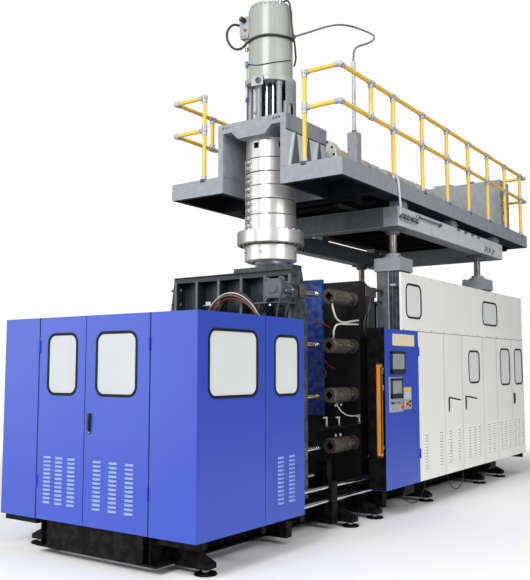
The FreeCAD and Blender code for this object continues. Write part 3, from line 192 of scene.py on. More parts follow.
def specks():
    """Small oil spots and dirt."""
    g = Group(
        "specks",
        (("Colour", "Color", GREY), ("Speck", "Color", GREY), ("Scale", "Float", 30.0),
            ("Amount", "Float", 0.5)),
        (("Colour", "Color"),),
    )
    spots = g.spread(g.clouds(g.given["Scale"], 2.0), 0.68, 0.74)
    mask = g.maths("MULTIPLY", spots, g.given["Amount"])
    g.join(g.mix(mask, g.given["Colour"], g.given["Speck"]), g.result["Colour"])
    return g.tree


MOTTLING, GRAIN, STREAKS, EDGE_WEAR, SPECKS = mottling(), grain(), streaks(), edge_wear(), specks()


def use(tree, group, values):
    node = tree.nodes.new("ShaderNodeGroup")
    node.node_tree = group
    for key, value in values.items():
        if isinstance(value, bpy.types.NodeSocket):
            tree.links.new(value, node.inputs[key])
        else:
            node.inputs[key].default_value = value
    return node.outputs


F = {}


def finish(look, colour, stain=None, rough=0.45, metal=0.0, cloud=(2.5, 0.35), gloss_change=0.12,
    peel=(260.0, 0.12, 0.0006), along=(1, 1, 1), runs=None, bare=None, speck=None, coat=0.0, ior=1.5):
    """A finish of one base colour with the clouding, grain, runs, wear and specks of the real surface."""
    material = bpy.data.materials.new(look.replace(" ", "_"))
    F[look] = material
    material.use_nodes = True
    tree = material.node_tree
    shader = tree.nodes["Principled BSDF"]
    colour = shade(*colour)
    stain = shade(*stain) if stain else tuple(c * 0.72 for c in colour[:3]) + (1.0,)
    made = use(tree, MOTTLING, {"Colour": colour, "Stain": stain, "Scale": cloud[0], "Amount": cloud[1],
            "Roughness": rough, "Gloss change": gloss_change})
    tone = made["Colour"]
    tree.links.new(made["Roughness"], shader.inputs["Roughness"])
    if runs:
        tone = use(tree, STREAKS, {"Colour": tone, "Run": shade(*runs[0]), "Scale": runs[1],
                "Amount": runs[2]})["Colour"]
    if speck:
        tone = use(tree, SPECKS, {"Colour": tone, "Speck": shade(*speck[0]), "Scale": speck[1],
                "Amount": speck[2]})["Colour"]
    if bare:
        tone = use(tree, EDGE_WEAR, {"Colour": tone, "Bare": shade(*bare[0]), "Amount": bare[1]})["Colour"]
    tree.links.new(tone, shader.inputs["Base Color"])
    normal = use(tree, GRAIN, {"Scale": peel[0], "Strength": peel[1], "Depth": peel[2],
        "Along": along})["Normal"]
    tree.links.new(normal, shader.inputs["Normal"])
    shader.inputs["Metallic"].default_value = metal
    shader.inputs["IOR"].default_value = ior
    if coat:
        shader.inputs["Coat Weight"].default_value = coat
        shader.inputs["Coat Roughness"].default_value = 0.12


OIL = (30, 27, 24)
BARE_STEEL = (165, 165, 160)
finish("blue powder", (50, 80, 188), (45, 73, 178), 0.36, cloud=(0.8, 0.25),
    peel=(420.0, 0.25, 0.0005), runs=((42, 68, 170), 7.0, 0.15))
finish("white powder", (244, 244, 240), (236, 236, 231), 0.42, cloud=(0.7, 0.35),
    peel=(420.0, 0.22, 0.0005), runs=((220, 220, 214), 6.0, 0.2))
# lighter copies of the blue and white powder for the louvre hoods: painted highlight
finish("blue louvre", (142, 162, 230), (112, 134, 216), 0.3, cloud=(9.0, 0.4),
    peel=(420.0, 0.2, 0.0005))
finish("white louvre", (252, 252, 249), (244, 244, 240), 0.36, cloud=(9.0, 0.4),
    peel=(420.0, 0.2, 0.0005))
finish("black paint", (7, 8, 9), (9, 10, 11), 0.5, cloud=(1.6, 0.2), ior=1.17,
    peel=(150.0, 0.2, 0.001), bare=((64, 62, 58), 0.25),
    speck=((36, 34, 31), 26.0, 0.12))
finish("grey paint", (146, 152, 158), (139, 145, 151), 0.38, cloud=(0.6, 0.2),
    peel=(120.0, 0.15, 0.001), runs=((118, 122, 126), 7.0, 0.2),
    bare=((190, 192, 192), 0.25))
# pale grey, also used as painted light on faces that must look brighter
finish("light grey paint and painted light", (206, 210, 214), (192, 196, 200), 0.38, cloud=(0.9, 0.3),
    peel=(120.0, 0.15, 0.001), runs=((150, 153, 156), 7.0, 0.35))
# dark grey paint, also used as painted shade on faces that must look darker
finish("dark grey paint and painted shade", (92, 98, 103), (82, 87, 92), 0.42, cloud=(0.9, 0.25),
    ior=1.35,
    peel=(110.0, 0.2, 0.001), runs=((62, 65, 67), 7.0, 0.3),
    bare=((140, 142, 142), 0.3))
# near-black for the deck and the beams under it: painted shade under the deck
finish("underside", (33, 36, 39), (27, 29, 31), 0.55, cloud=(1.2, 0.3), ior=1.2,
    peel=(90.0, 0.2, 0.001), runs=((20, 21, 22), 6.0, 0.25))
finish("platen paint", (50, 55, 59), (40, 44, 47), 0.38, cloud=(1.4, 0.3), ior=1.35,
    peel=(80.0, 0.3, 0.0015), runs=(OIL, 9.0, 0.4), bare=((118, 122, 124), 0.35))
# oily iron, made darker still as painted shade deep in the clamp bay
finish("oily platen with painted shade", (33, 33, 32), (22, 21, 20), 0.36, cloud=(1.8, 0.35), ior=1.22,
    peel=(80.0, 0.3, 0.0015), runs=((52, 46, 38), 10.0, 0.3),
    speck=((74, 67, 56), 22.0, 0.4))
finish("light green grey", (166, 171, 162), (178, 182, 174), 0.32, cloud=(1.0, 0.3),
    peel=(90.0, 0.12, 0.001), runs=((190, 193, 186), 9.0, 0.5), coat=0.25)
finish("yellow pipe paint", (247, 203, 74), (234, 188, 62), 0.35, cloud=(4.0, 0.4),
    peel=(200.0, 0.1, 0.0005))
finish("pale fitting", (186, 188, 192), (156, 158, 162), 0.42, cloud=(9.0, 0.5),
    peel=(150.0, 0.12, 0.001), metal=0.2)
finish("dark fitting", (76, 78, 82), (52, 53, 56), 0.5, cloud=(9.0, 0.5),
    peel=(150.0, 0.3, 0.001), bare=(BARE_STEEL, 0.5))
finish("plate blue", (22, 60, 146), (16, 46, 116), 0.38, cloud=(0.9, 0.25), ior=1.3,
    peel=(120.0, 0.15, 0.001), runs=((14, 20, 40), 8.0, 0.35),
    bare=((130, 142, 160), 0.25))
finish("bright steel", (190, 192, 193), (150, 150, 148), 0.3, metal=1.0,
    cloud=(5.0, 0.5),
    peel=(300.0, 0.15, 0.0005), along=(1, 1, 6))
finish("chrome plate", (216, 217, 219), (190, 191, 192), 0.12, metal=1.0, cloud=(6.0, 0.4),
    peel=(200.0, 0.04, 0.0003))
finish("browned steel", (108, 103, 93), (66, 61, 53), 0.4, metal=0.5, cloud=(5.0, 0.7),
    peel=(160.0, 0.25, 0.001), runs=(OIL, 12.0, 0.4), bare=((150, 144, 132), 0.5))
finish("greasy screw", (168, 160, 150), (96, 86, 76), 0.3, metal=0.75,
    cloud=(10.0, 0.7),
    peel=(120.0, 0.35, 0.0015))
finish("band metal", (204, 204, 202), (180, 178, 172), 0.32, metal=0.75, cloud=(1.4, 0.4),
    peel=(60.0, 0.06, 0.0015), runs=((150, 147, 140), 8.0, 0.3))
finish("die steel", (228, 228, 226), (198, 195, 188), 0.3, metal=0.5, cloud=(4.0, 0.45),
    peel=(120.0, 0.1, 0.0008))
finish("burnt metal", (92, 82, 74), (48, 42, 38), 0.45, metal=0.6, cloud=(9.0, 0.7))
finish("cover foil", (206, 205, 200), (150, 144, 134), 0.42, metal=0.4, cloud=(5.0, 0.7),
    peel=(30.0, 0.6, 0.005), speck=((104, 94, 80), 10.0, 0.6))
# near-black strip under the white louvre hoods: painted shadow
finish("painted louvre shadow", (34, 35, 37), (26, 27, 28), 0.7, cloud=(6.0, 0.3))
# one pane material in two copies: brighter on the side panes as painted light, darker on the door-end leaves
# as painted shade
finish("window sheet", (232, 235, 234), (222, 226, 225), 0.3, cloud=(1.6, 0.6),
    peel=(40.0, 0.05, 0.001), runs=((212, 216, 215), 6.0, 0.4))
finish("leaf pane painted shade", (194, 198, 198), (184, 188, 188), 0.3,
    cloud=(1.6, 0.6),
    peel=(40.0, 0.05, 0.001), runs=((176, 180, 180), 6.0, 0.4))
finish("rubber edge", (20, 21, 26), (32, 33, 40), 0.6, cloud=(20.0, 0.4), ior=1.3)
finish("black plastic", (30, 30, 32), (44, 44, 46), 0.45, cloud=(20.0, 0.3),
    peel=(700.0, 0.2, 0.0003))
finish("screen housing", (120, 122, 124), (100, 102, 104), 0.42, cloud=(8.0, 0.3),
    peel=(700.0, 0.2, 0.0003))
finish("panel plate", (205, 208, 212), (184, 187, 192), 0.36, metal=0.5,
    cloud=(4.0, 0.4),
    peel=(240.0, 0.15, 0.0004), along=(0.05, 1, 1))
finish("screen glass", (44, 52, 60), (58, 68, 78), 0.08, cloud=(6.0, 0.6), coat=0.4)
finish("screen light", (196, 208, 214), (170, 186, 196), 0.3, cloud=(30.0, 0.5))
finish("orange plastic", (226, 140, 40), (206, 118, 30), 0.35, cloud=(6.0, 0.4),
    peel=(500.0, 0.15, 0.0003))
finish("screen grey", (158, 163, 166), (132, 137, 141), 0.22, cloud=(3.0, 0.6))
finish("yellow plastic", (238, 206, 60), (220, 186, 46), 0.4, cloud=(12.0, 0.4))
finish("red plastic", (196, 34, 30), (160, 24, 22), 0.28, cloud=(12.0, 0.4))
finish("green plastic", (40, 140, 76), (30, 116, 60), 0.3, cloud=(12.0, 0.4))
finish("blue plastic", (44, 90, 190), (34, 72, 160), 0.3, cloud=(12.0, 0.4))
finish("cream plate", (236, 226, 190), (222, 210, 172), 0.32, cloud=(10.0, 0.3))
finish("hose black", (34, 34, 36), (54, 54, 56), 0.48, cloud=(18.0, 0.5),
    peel=(240.0, 0.3, 0.0006))
finish("conduit grey", (124, 116, 116), (96, 84, 84), 0.45, cloud=(9.0, 0.6),
    peel=(260.0, 0.4, 0.001))
finish("hose brown", (112, 84, 72), (78, 54, 46), 0.45, cloud=(16.0, 0.6))
finish("hose pale", (214, 212, 206), (180, 176, 168), 0.42, cloud=(16.0, 0.6))
finish("wire red", (186, 46, 40), (150, 34, 30), 0.4, cloud=(16.0, 0.4))
finish("brass parts", (206, 172, 96), (168, 132, 64), 0.28, metal=1.0, cloud=(12.0, 0.5))
# near-black for joints and openings, also used as painted shade under the blue louvre hoods
finish("dark gap and painted shade", (14, 14, 15), (22, 22, 22), 0.8)
finish("rough rust", (150, 130, 116), (104, 84, 70), 0.7, cloud=(9.0, 0.8),
    peel=(50.0, 0.6, 0.004))

NODE_FINISH = {
    "black paint": ("base_frame", "guide_rod_blocks", "cabinet_frame", "levelling_feet"),
    "blue powder": ("guard_corner_panel", "guard_far_panel", "guard_side_panel", "guard_door_header",
        "guard_door_right", "guard_door_left", "door_hinge_barrels", "control_cabinet"),
    "white powder": ("cabinet_door_1", "cabinet_door_2", "cabinet_door_3", "cabinet_door_4", "cabinet_door_5",
        "cabinet_fixed_panel", "cabinet_upper_panel", "cabinet_rear_shell"),
    "leaf pane painted shade": ("guard_pane_right", "guard_pane_left"),
    "window sheet": ("fixed_window_panes", "cabinet_pane_3", "cabinet_pane_4", "cabinet_pane_5"),
    "grey paint": ("head_yoke", "extruder_drive", "lift_frame", "hydraulic_tank"),
    "dark grey paint and painted shade": ("support_columns", "clamp_actuator"),
    "underside": ("platform_deck",),
    "platen paint": ("front_platen",),
    "oily platen with painted shade": ("rear_platen",),
    "plate blue": ("front_mould_plate", "rear_mould_plate"),
    "chrome plate": ("lock_rods", "guide_rods"),
    "browned steel": ("lock_cylinders", "jack_screws"),
    "bright steel": ("head_posts", "hose_pole", "die_core"),
    "band metal": ("accumulator_head",),
    "cover foil": ("extruder_barrel",),
    "light green grey": ("hydraulic_cylinder",),
    "yellow pipe paint": ("guard_railing",),
    "black plastic": ("guard_door_handle", "cabinet_handle_2", "cabinet_handle_3", "cabinet_handle_5",
        "start_button",
        "selector_switch"),
    "red plastic": ("emergency_stop",),
    "screen housing": ("upper_screen",),
    "panel plate": ("operator_panel",),
    "orange plastic": ("light_curtain",),
    "hose black": ("head_hose", "clamp_hose"),
}
for finish_name, names in NODE_FINISH.items():
    for node_name in names:
        nodes[node_name].data.materials.clear()
        nodes[node_name].data.materials.append(F[finish_name])


# ---------------- pieces
class Piece:
    """One piece of the machine, drawn in the drawing frame from parts that each have a finish."""

    def __init__(self, name, body, slot, replaced=()):
        self.name, self.body, self.slot, self.replaced = name, body, slot, replaced
        self.bm = bmesh.new()
        self.finishes = []

    def absorb(self, part, look, place=STRAIGHT):
        """Adds a part's faces, moved by place, and frees the part."""
        if look not in self.finishes:
            self.finishes.append(look)
        index = self.finishes.index(look)
        fresh = {v: self.bm.verts.new(place @ v.co) for v in part.verts}
        for face in part.faces:
            copy = self.bm.faces.new([fresh[v] for v in face.verts])
            copy.material_index = index
            copy.smooth = True
        part.free()

    def block(self, look, x, y, z, rim=0.003, place=STRAIGHT):
        """A block between two values on each axis, with its edges rounded."""
        part = bmesh.new()
        bmesh.ops.create_cube(part, size=1.0)
        for v in part.verts:
            v.co = Vector((x[v.co.x > 0], y[v.co.y > 0], z[v.co.z > 0]))
        rim = min([rim] + [abs(side[1] - side[0]) * 0.3 for side in (x, y, z)])
        if rim > 0.0002:
            bmesh.ops.bevel(part, geom=part.edges[:], offset=rim, segments=2, profile=0.5, affect="EDGES")
        self.absorb(part, look, place)

    def turned(self, look, profile, centre, axis=(0, 0, 1), sides=40, place=STRAIGHT, phase=0.0):
        """A turned part: (distance along the axis, radius) corners carried round the axis."""
        part = bmesh.new()
        loops = []
        for along, radius in profile:
            if radius < 1e-6:
                loops.append([part.verts.new((0, 0, along))])
                continue
            turn = [2 * math.pi * k / sides + phase for k in range(sides)]
            loops.append([part.verts.new((radius * math.cos(t), radius * math.sin(t), along)) for t in turn])
        for lower, upper in zip(loops, loops[1:]):
            for k in range(sides):
                corners = [lower[k % len(lower)], lower[(k + 1) % len(lower)],
                    upper[(k + 1) % len(upper)], upper[k % len(upper)]]
                corners = list(dict.fromkeys(corners))
                if len(corners) > 2:
                    part.faces.new(corners)
        turn_to = Vector((0, 0, 1)).rotation_difference(Vector(axis)).to_matrix().to_4x4()
        self.absorb(part, look, place @ Matrix.Translation(Vector(centre)) @ turn_to)

    def rod(self, look, start, end, radius, sides=24, rim=0.002, place=STRAIGHT):
        """A round bar between two points, its ends chamfered."""
        start, end = Vector(start), Vector(end)
        length = (end - start).length
        rim = min(rim, radius * 0.4, length * 0.3)
        profile = [(0, 0), (0, radius - rim), (rim, radius), (length - rim, radius), (length, radius - rim),
            (length, 0)]
        self.turned(look, profile, start, end - start, sides, place)

    def ball(self, look, centre, radius, place=STRAIGHT):
        steps = [math.pi * k / 12 for k in range(13)]
        self.turned(look, [(-radius * math.cos(t), radius * math.sin(t)) for t in steps], centre, sides=24,
            place=place)

    def bolt(self, look, centre, axis, size, height=None, place=STRAIGHT):
        """A hexagon head on its washer, standing on the face at centre."""
        height = height or size * 0.65
        centre, axis = Vector(centre), Vector(axis).normalized()
        self.turned(look, [(0, 0), (0, size * 1.15), (height * 0.2, size * 1.15), (height * 0.2, 0)],
            centre, axis,
            20, place)
        rim = size * 0.12
        profile = [(height * 0.2, 0), (height * 0.2, size), (height - rim, size), (height, size - rim),
            (height, 0)]
        self.turned(look, profile, centre, axis, 6, place)

    def cap_screw(self, look, centre, axis, radius, height, place=STRAIGHT):
        """A round head with its socket."""
        rim = radius * 0.12
        profile = [(0, 0), (0, radius), (height - rim, radius), (height, radius - rim),
            (height, radius * 0.55),
            (height * 0.45, radius * 0.5), (height * 0.45, 0)]
        self.turned(look, profile, centre, axis, 18, place)

    def prism(self, look, outline, travel, rim=0.002, place=STRAIGHT):
        """A closed outline of corner points, extruded, with its edges rounded."""
        part = bmesh.new()
        face = part.faces.new([part.verts.new(point) for point in outline])
        moved = bmesh.ops.extrude_face_region(part, geom=[face])["geom"]
        bmesh.ops.translate(part, vec=Vector(travel), verts=[v for v in moved if isinstance(v,
            bmesh.types.BMVert)])
        bmesh.ops.recalc_face_normals(part, faces=part.faces[:])
        if rim > 0:
            bmesh.ops.bevel(part, geom=part.edges[:], offset=rim, segments=2, profile=0.5, affect="EDGES")
        self.absorb(part, look, place)

    def loops(self, look, rings, place=STRAIGHT, closed=True):
        """Faces between neighbouring rings of points, and from the last ring to the first where closed."""
        part = bmesh.new()
        made = [[part.verts.new(point) for point in ring] for ring in rings]
        pairs = list(zip(made, made[1:])) + ([(made[-1], made[0])] if closed else [])
        for first, second in pairs:
            for k in range(len(first)):
                part.faces.new([first[k], first[k - 1], second[k - 1], second[k]])
        self.absorb(part, look, place)

    def twin(self):
        """Adds the same parts on the far side of the machine."""
        index = {v: self.bm.verts.new(FAR_SIDE @ v.co) for v in self.bm.verts[:]}
        for face in self.bm.faces[:]:
            copy = self.bm.faces.new([index[v] for v in reversed(face.verts)])
            copy.material_index = face.material_index
            copy.smooth = True

    def close(self, sharp=35.0):
        """Makes the object, in the machine's frame, on its body."""
        bmesh.ops.recalc_face_normals(self.bm, faces=self.bm.faces[:])
        mesh = bpy.data.meshes.new(self.name)
        self.bm.to_mesh(mesh)
        self.bm.free()
        mesh.transform(SHIFT)
        for look in self.finishes:
            mesh.materials.append(F[look])
        mesh.set_sharp_from_angle(angle=math.radians(sharp))
        obj = bpy.data.objects.new(self.name, mesh)
        bpy.context.scene.collection.objects.link(obj)
        even = obj.modifiers.new("even_normals", "WEIGHTED_NORMAL")
        even.keep_sharp = True
        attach(obj, self.body)
        if self.replaced:
            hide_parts(*self.replaced)
        return obj


def hose(name, points, radius, body, look, replaced=()):
    """A hose or cable on one smooth curve from a fitting to a fitting."""
    curve = bpy.data.curves.new(name, "CURVE")
    curve.dimensions = "3D"
    curve.bevel_depth = radius
    curve.bevel_resolution = 5
    curve.resolution_u = 14
    curve.use_fill_caps = True
    spline = curve.splines.new("NURBS")
    spline.points.add(len(points) - 1)
    for point, place in zip(spline.points, points):
        point.co = (*(Vector(place) - ORIGIN), 1.0)
    spline.order_u = 3
    spline.use_endpoint_u = True
    curve.materials.append(F[look])
    obj = bpy.data.objects.new(name, curve)
    bpy.context.scene.collection.objects.link(obj)
    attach(obj, body)
    if replaced:
        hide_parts(*replaced)
    return obj


# ---------------- camera
camera = bpy.data.objects.new("camera", bpy.data.cameras.new("camera"))
camera.data.sensor_width = 36.0
camera.data.lens = 48.98
camera.data.clip_end = 200.0
camera.location = (-9.0224, -5.0739, 1.65)
camera.rotation_euler = (math.radians(95.612), 0, math.radians(-54.78))
bpy.context.scene.collection.objects.link(camera)
bpy.context.scene.camera = camera

# ---------------- hoses
HEAD_HOSE = (
    (3.11, 0.3, 5.18), (3.11, 0.3, 5.3), (3.195, 0.3, 5.39), (3.33, 0.302, 5.458), (3.53, 0.31, 5.555),
    (3.744, 0.345, 5.69), (3.92, 0.45, 5.83), (3.975, 0.56, 5.915), (3.92, 0.65, 5.96), (3.75, 0.7, 5.955),
    (3.5, 0.745, 5.89), (3.221, 0.8, 5.755), (3.02, 0.88, 5.64), (2.87, 0.965, 5.563),
)
CLAMP_HOSE = ((1.86, 1.338, 2.0), (1.86, 1.338, 2.22), (1.86, 1.04, 2.5), (1.86, 0.725, 2.22),
    (1.86, 0.725, 2.0))
hose("head_conduit", HEAD_HOSE, 0.012, "platform", "conduit grey", ("head_hose",))
hose("clamp_hose_main", CLAMP_HOSE, 0.019, "front_clamp", "hose black",
    ("clamp_hose",))

# ---------------- sheet panels
LOUVRE = {"rows": 12, "pitch": 0.0355, "width": 0.095, "depth": 0.012, "bottom": 0.452}
WINDOW_CORNER = 0.088
SHEET = 0.002
FOLD = 0.03


def corner_outline(window, grow=0.0, steps=8):
    """A window's outline with round corners, as (along, up) points, moved outwards by grow."""
    x0, x1, z0, z1 = window
    inset = min(WINDOW_CORNER, 0.45 * (x1 - x0))
    radius = max(inset + grow, 0.002)
    points = []
    for x, z, first in ((x1 - inset, z1 - inset, 0), (x0 + inset, z1 - inset, 90),
        (x0 + inset, z0 + inset, 180), (x1 - inset, z0 + inset, 270)):
        for step in range(steps + 1):
            angle = math.radians(first + 90 * step / steps)
            points.append((x + radius * math.cos(angle), z + radius * math.sin(angle)))
    return points


def sheet_face(piece, look, x, z, windows=(), place=STRAIGHT, thick=SHEET, rim=0.0009):
    """A flat sheet with its outer face at depth 0, with round-cornered windows cut through."""
    part = bmesh.new()
    outlines = [[(x[0], z[0]), (x[1], z[0]), (x[1], z[1]), (x[0],
        z[1])]] + [corner_outline(w) for w in windows]
    edges = []
    for outline in outlines:
        made = [part.verts.new((a, 0, up)) for a, up in outline]
        edges += [part.edges.new((made[k - 1], made[k])) for k in range(len(made))]
    bmesh.ops.triangle_fill(part, use_beauty=True, edges=edges)
    moved = bmesh.ops.extrude_face_region(part, geom=part.faces[:])["geom"]
    bmesh.ops.translate(part, vec=(0, thick, 0), verts=[v for v in moved if isinstance(v,
        bmesh.types.BMVert)])
    bmesh.ops.recalc_face_normals(part, faces=part.faces[:])
    sharp = [e for e in part.edges if len(e.link_faces) == 2 and e.calc_face_angle() > 1.0]
    bmesh.ops.bevel(part, geom=sharp, offset=rim, segments=2, profile=0.5, affect="EDGES")
    piece.absorb(part, look, place)


def folded_edges(piece, look, x, z, place=STRAIGHT, depth=FOLD):
    """The turned-back edges of a sheet panel."""
    for side in ((x[0], x[0] + SHEET), (x[1] - SHEET, x[1])):
        piece.block(look, side, (SHEET, depth), z, 0.0004, place)
    for side in ((z[0], z[0] + SHEET), (z[1] - SHEET, z[1])):
        piece.block(look, (x[0] + SHEET, x[1] - SHEET), (SHEET, depth), side, 0.0004, place)


def window_edge(piece, window, place=STRAIGHT):
    """The black rubber section round a window."""
    profile = ((0.006, 0.001), (0.006, -0.004), (0.002, -0.0065), (-0.012, -0.0065), (-0.017, -0.003),
        (-0.018, 0.002))
    rings = [[(a, depth, up) for a, up in corner_outline(window, grow)] for grow, depth in profile]
    piece.loops("rubber edge", rings, place)


def louvres(piece, look, columns, place=STRAIGHT):
    """Columns of pressed louvres: hoods with round shoulders, open below, in a lighter copy of the panel's
    finish as painted highlight, each with a dark strip under its lip as painted shadow.
    """
    hood_highlight_look = look.replace("powder", "louvre")
    across, down = 10, 4
    half = LOUVRE["width"] / 2
    high = LOUVRE["pitch"] * 0.55
    for centre in columns:
        for row in range(LOUVRE["rows"]):
            low = LOUVRE["bottom"] + row * LOUVRE["pitch"] + 0.004
            part = bmesh.new()
            rows = []
            for j in range(down + 1):
                drop = j / down
                line = []
                for i in range(across + 1):
                    side = 2 * i / across - 1
                    rise = (1 - abs(side) ** 5) * math.sin(drop * math.pi / 2)
                    line.append(part.verts.new((centre + half * side, -LOUVRE["depth"] * rise,
                                low + high * (1 - drop))))
                rows.append(line)
            lip = [part.verts.new((v.co.x, min(v.co.y + 0.0016, 0.0), low)) for v in rows[-1]]
            rows.append(lip)
            for upper, lower in zip(rows, rows[1:]):
                for i in range(across):
                    part.faces.new([upper[i], upper[i + 1], lower[i + 1], lower[i]])
            piece.absorb(part, hood_highlight_look, place)
            # a dark strip over the opening under each lip and down onto the sheet below it: painted shadow of
            # the hood
            slot_high = low + 0.002
            piece.block("dark gap and painted shade" if look == "blue powder" else "painted louvre shadow",
                (centre - half * 0.86, centre + half * 0.86), (-0.0006, 0.0004),
                (low - (0.004 if look == "blue powder" else 0.0085), slot_high),
                0.0, place)


def panel(piece, look, x, z, windows=(), columns=(), place=STRAIGHT, edges=True):
    sheet_face(piece, look, x, z, windows, place)
    if edges:
        folded_edges(piece, look, x, z, place)
    for window in windows:
        window_edge(piece, window, place)
    louvres(piece, look, columns, place)


# swing handles: a dish on the panel and a lever hinged at its upper end
HANDLE = {"top": 1.262, "length": 0.175, "width": 0.036, "dish": 0.007, "lever": 0.02, "pivot": 1.258,
    "open": 80.0}


def handle_dish(piece, at, place=STRAIGHT):
    half = HANDLE["width"] / 2
    low = HANDLE["top"] - HANDLE["length"]
    piece.block("black plastic", (at - half, at + half), (-HANDLE["dish"], 0.0), (low, HANDLE["top"]),
        0.003, place)
    piece.cap_screw("bright steel", (at, -HANDLE["dish"], low + 0.012), (0, -1, 0), 0.0065, 0.0015, place)


def handle_lever(piece, at, is_open, place=STRAIGHT):
    """A tapered grip with a thumb hollow, lying on its dish or swung out."""
    pivot = Vector((at, -HANDLE["dish"], HANDLE["pivot"]))
    if is_open:
        turn = Matrix.Rotation(math.radians(HANDLE["open"]), 4, (-1, 0, 0))
        place = place @ Matrix.Translation(pivot) @ turn @ Matrix.Translation(-pivot)
    low = HANDLE["top"] - HANDLE["length"] + 0.022
    run = HANDLE["pivot"] - low
    rings = []
    for step in range(9):
        share = step / 8
        half = 0.0135 * (1 - 0.3 * share)
        proud = HANDLE["lever"] * (0.86 + 0.14 * math.sin(math.pi * share))
        z = HANDLE["pivot"] - run * share
        back, front = -HANDLE["dish"], -HANDLE["dish"] - proud
        soft = 0.003
        rings.append([(at - half, back, z), (at - half, front + soft, z), (at - half + soft, front, z),
                (at + half - soft, front, z), (at + half, front + soft, z), (at + half, back, z)])
    piece.loops("black plastic", rings, place, closed=False)
    part = bmesh.new()
    for ring in (rings[0], rings[-1]):
        part.faces.new([part.verts.new(point) for point in ring])
    piece.absorb(part, "black plastic", place)


# ---------------- guard house
LEFT_LEAF_WINDOW = (1.37, 1.754, 1.41, 1.952)
RIGHT_LEAF_WINDOW = (0.649, 1.129, 1.41, 1.952)
CORNER_WINDOW = (0.134, 0.796, 1.408, 1.962)
SIDE_WINDOW = (1.053, 1.439, 1.4, 1.937)
GUARD_Z = (0.31, 2.1)
LEAF_Z = (0.3115, 2.1)

leaf = Piece("left_guard_leaf", "left_guard_door", "blue_panel", ("guard_door_left",))
panel(leaf, "blue powder", (1.26, 1.8685), LEAF_Z, (LEFT_LEAF_WINDOW,), (1.42, 1.58, 1.735), DOOR_END)
leaf.block("rubber edge", (1.26, 1.2645), (-0.0008, 0.0), LEAF_Z, 0.0, DOOR_END)
leaf.close()
leaf = Piece("right_guard_leaf", "right_guard_door", "blue_panel", ("guard_door_right",))
panel(leaf, "blue powder", (0.5065, 1.257), LEAF_Z, (RIGHT_LEAF_WINDOW,), (0.72, 0.91, 1.1), DOOR_END)
handle_dish(leaf, 1.196, DOOR_END)
leaf.close()
lever = Piece("guard_lever", "guard_handle", "black_plastic", ("guard_door_handle",))
handle_lever(lever, 1.196, False, DOOR_END)
lever.close()


def fold_strip(piece, look, radius, z, place=STRAIGHT):
    """The rounded fold between two faces of a corner sheet."""
    steps = 6
    rings = []
    for height in z:
        turn = [math.pi / 2 * k / steps for k in range(steps + 1)]
        outer = [(radius - radius * math.cos(t), radius - radius * math.sin(t), height) for t in turn]
        inner = [(radius - (radius - SHEET) * math.cos(t), radius - (radius - SHEET) * math.sin(t),
                height) for t in turn]
        rings.append(outer + inner[::-1])
    piece.loops(look, rings, place, closed=False)


CORNER_FOLD = 0.006
near = Piece("near_corner_sheet", "frame", "blue_panel", ("guard_corner_panel",))
panel(near, "blue powder", (CORNER_FOLD, 0.505), GUARD_Z, (), (), DOOR_END, edges=False)
panel(near, "blue powder", (CORNER_FOLD, 0.9145), GUARD_Z, (CORNER_WINDOW,), (), edges=False)
fold_strip(near, "blue powder", CORNER_FOLD, GUARD_Z)
near.block("rubber edge", (0.494, 0.5055), (-0.0015, 0.0), GUARD_Z, 0.0005, DOOR_END)
near.block("rubber edge", (0.9105, 0.915), (-0.0008, 0.0), GUARD_Z, 0.0)
near.block("blue powder", (SHEET, 0.08), (0.503, 0.505), GUARD_Z, 0.0004)
near.block("blue powder", (0.9125, 0.9145), (SHEET, FOLD), GUARD_Z, 0.0004)
near.close()
side = Piece("side_sheet", "frame", "blue_panel", ("guard_side_panel",))
panel(side, "blue powder", (0.9155, 1.54), GUARD_Z, (SIDE_WINDOW,), (1.152, 1.329))
side.close()
far = Piece("far_corner_sheet", "frame", "blue_panel", ("guard_far_panel",))
panel(far, "blue powder", (CORNER_FOLD, 0.5), GUARD_Z, (), (), FAR_SIDE @ DOOR_END, edges=False)
panel(far, "blue powder", (CORNER_FOLD, 1.54), GUARD_Z, (), (), FAR_SIDE, edges=False)
fold_strip(far, "blue powder", CORNER_FOLD, GUARD_Z, FAR_SIDE)
far.block("rubber edge", (0.489, 0.5005), (-0.0015, 0.0), GUARD_Z, 0.0005, FAR_SIDE @ DOOR_END)
far.block("blue powder", (SHEET, 0.08), (0.498, 0.5), GUARD_Z, 0.0004, FAR_SIDE)
far.block("blue powder", (1.538, 1.54), (SHEET, FOLD), GUARD_Z, 0.0004, FAR_SIDE)
far.close()

# ---------------- cabinets
DOOR_Z = (0.3115, 2.0785)
DOORS = {
    "1": (4.09, 4.87, None, (4.28, 4.73)),
    "2": (4.87, 5.48, None, (5.03, 5.33)),
    "3": (5.48, 6.29, (5.72, 6.13, 1.44, 1.88), (5.7, 5.89, 6.08)),
    "4": (6.85, 7.53, (7.016, 7.44, 1.39, 1.934), (6.99, 7.18, 7.38)),
    "5": (7.53, 8.1, (7.67, 8.05, 1.39, 1.94), (7.62, 7.81, 8.0)),
}
HANDLES = {"2": (5.005, True), "3": (5.59, True), "5": (7.605, False)}
UPPER_WINDOWS = ((3.77, 4.2, 2.233, 2.638), (6.315, 6.925, 2.26, 2.6))
for number, (left, right, window, columns) in DOORS.items():
    door = Piece("door_leaf_" + number, "door_" + number, "white_panel", ("cabinet_door_" + number,))
    panel(door, "white powder", (left + 0.0015, right - 0.0015), DOOR_Z, (window,) if window else (), columns)
    door.block("rubber edge", (right - 0.006, right - 0.0015), (-0.0006, 0.0), DOOR_Z, 0.0)
    if number in HANDLES:
        handle_dish(door, HANDLES[number][0])
    door.close()
for number, (at, is_open) in HANDLES.items():
    lever = Piece("door_lever_" + number, "handle_" + number, "black_plastic", ("cabinet_handle_" + number,))
    handle_lever(lever, at, is_open)
    lever.close()
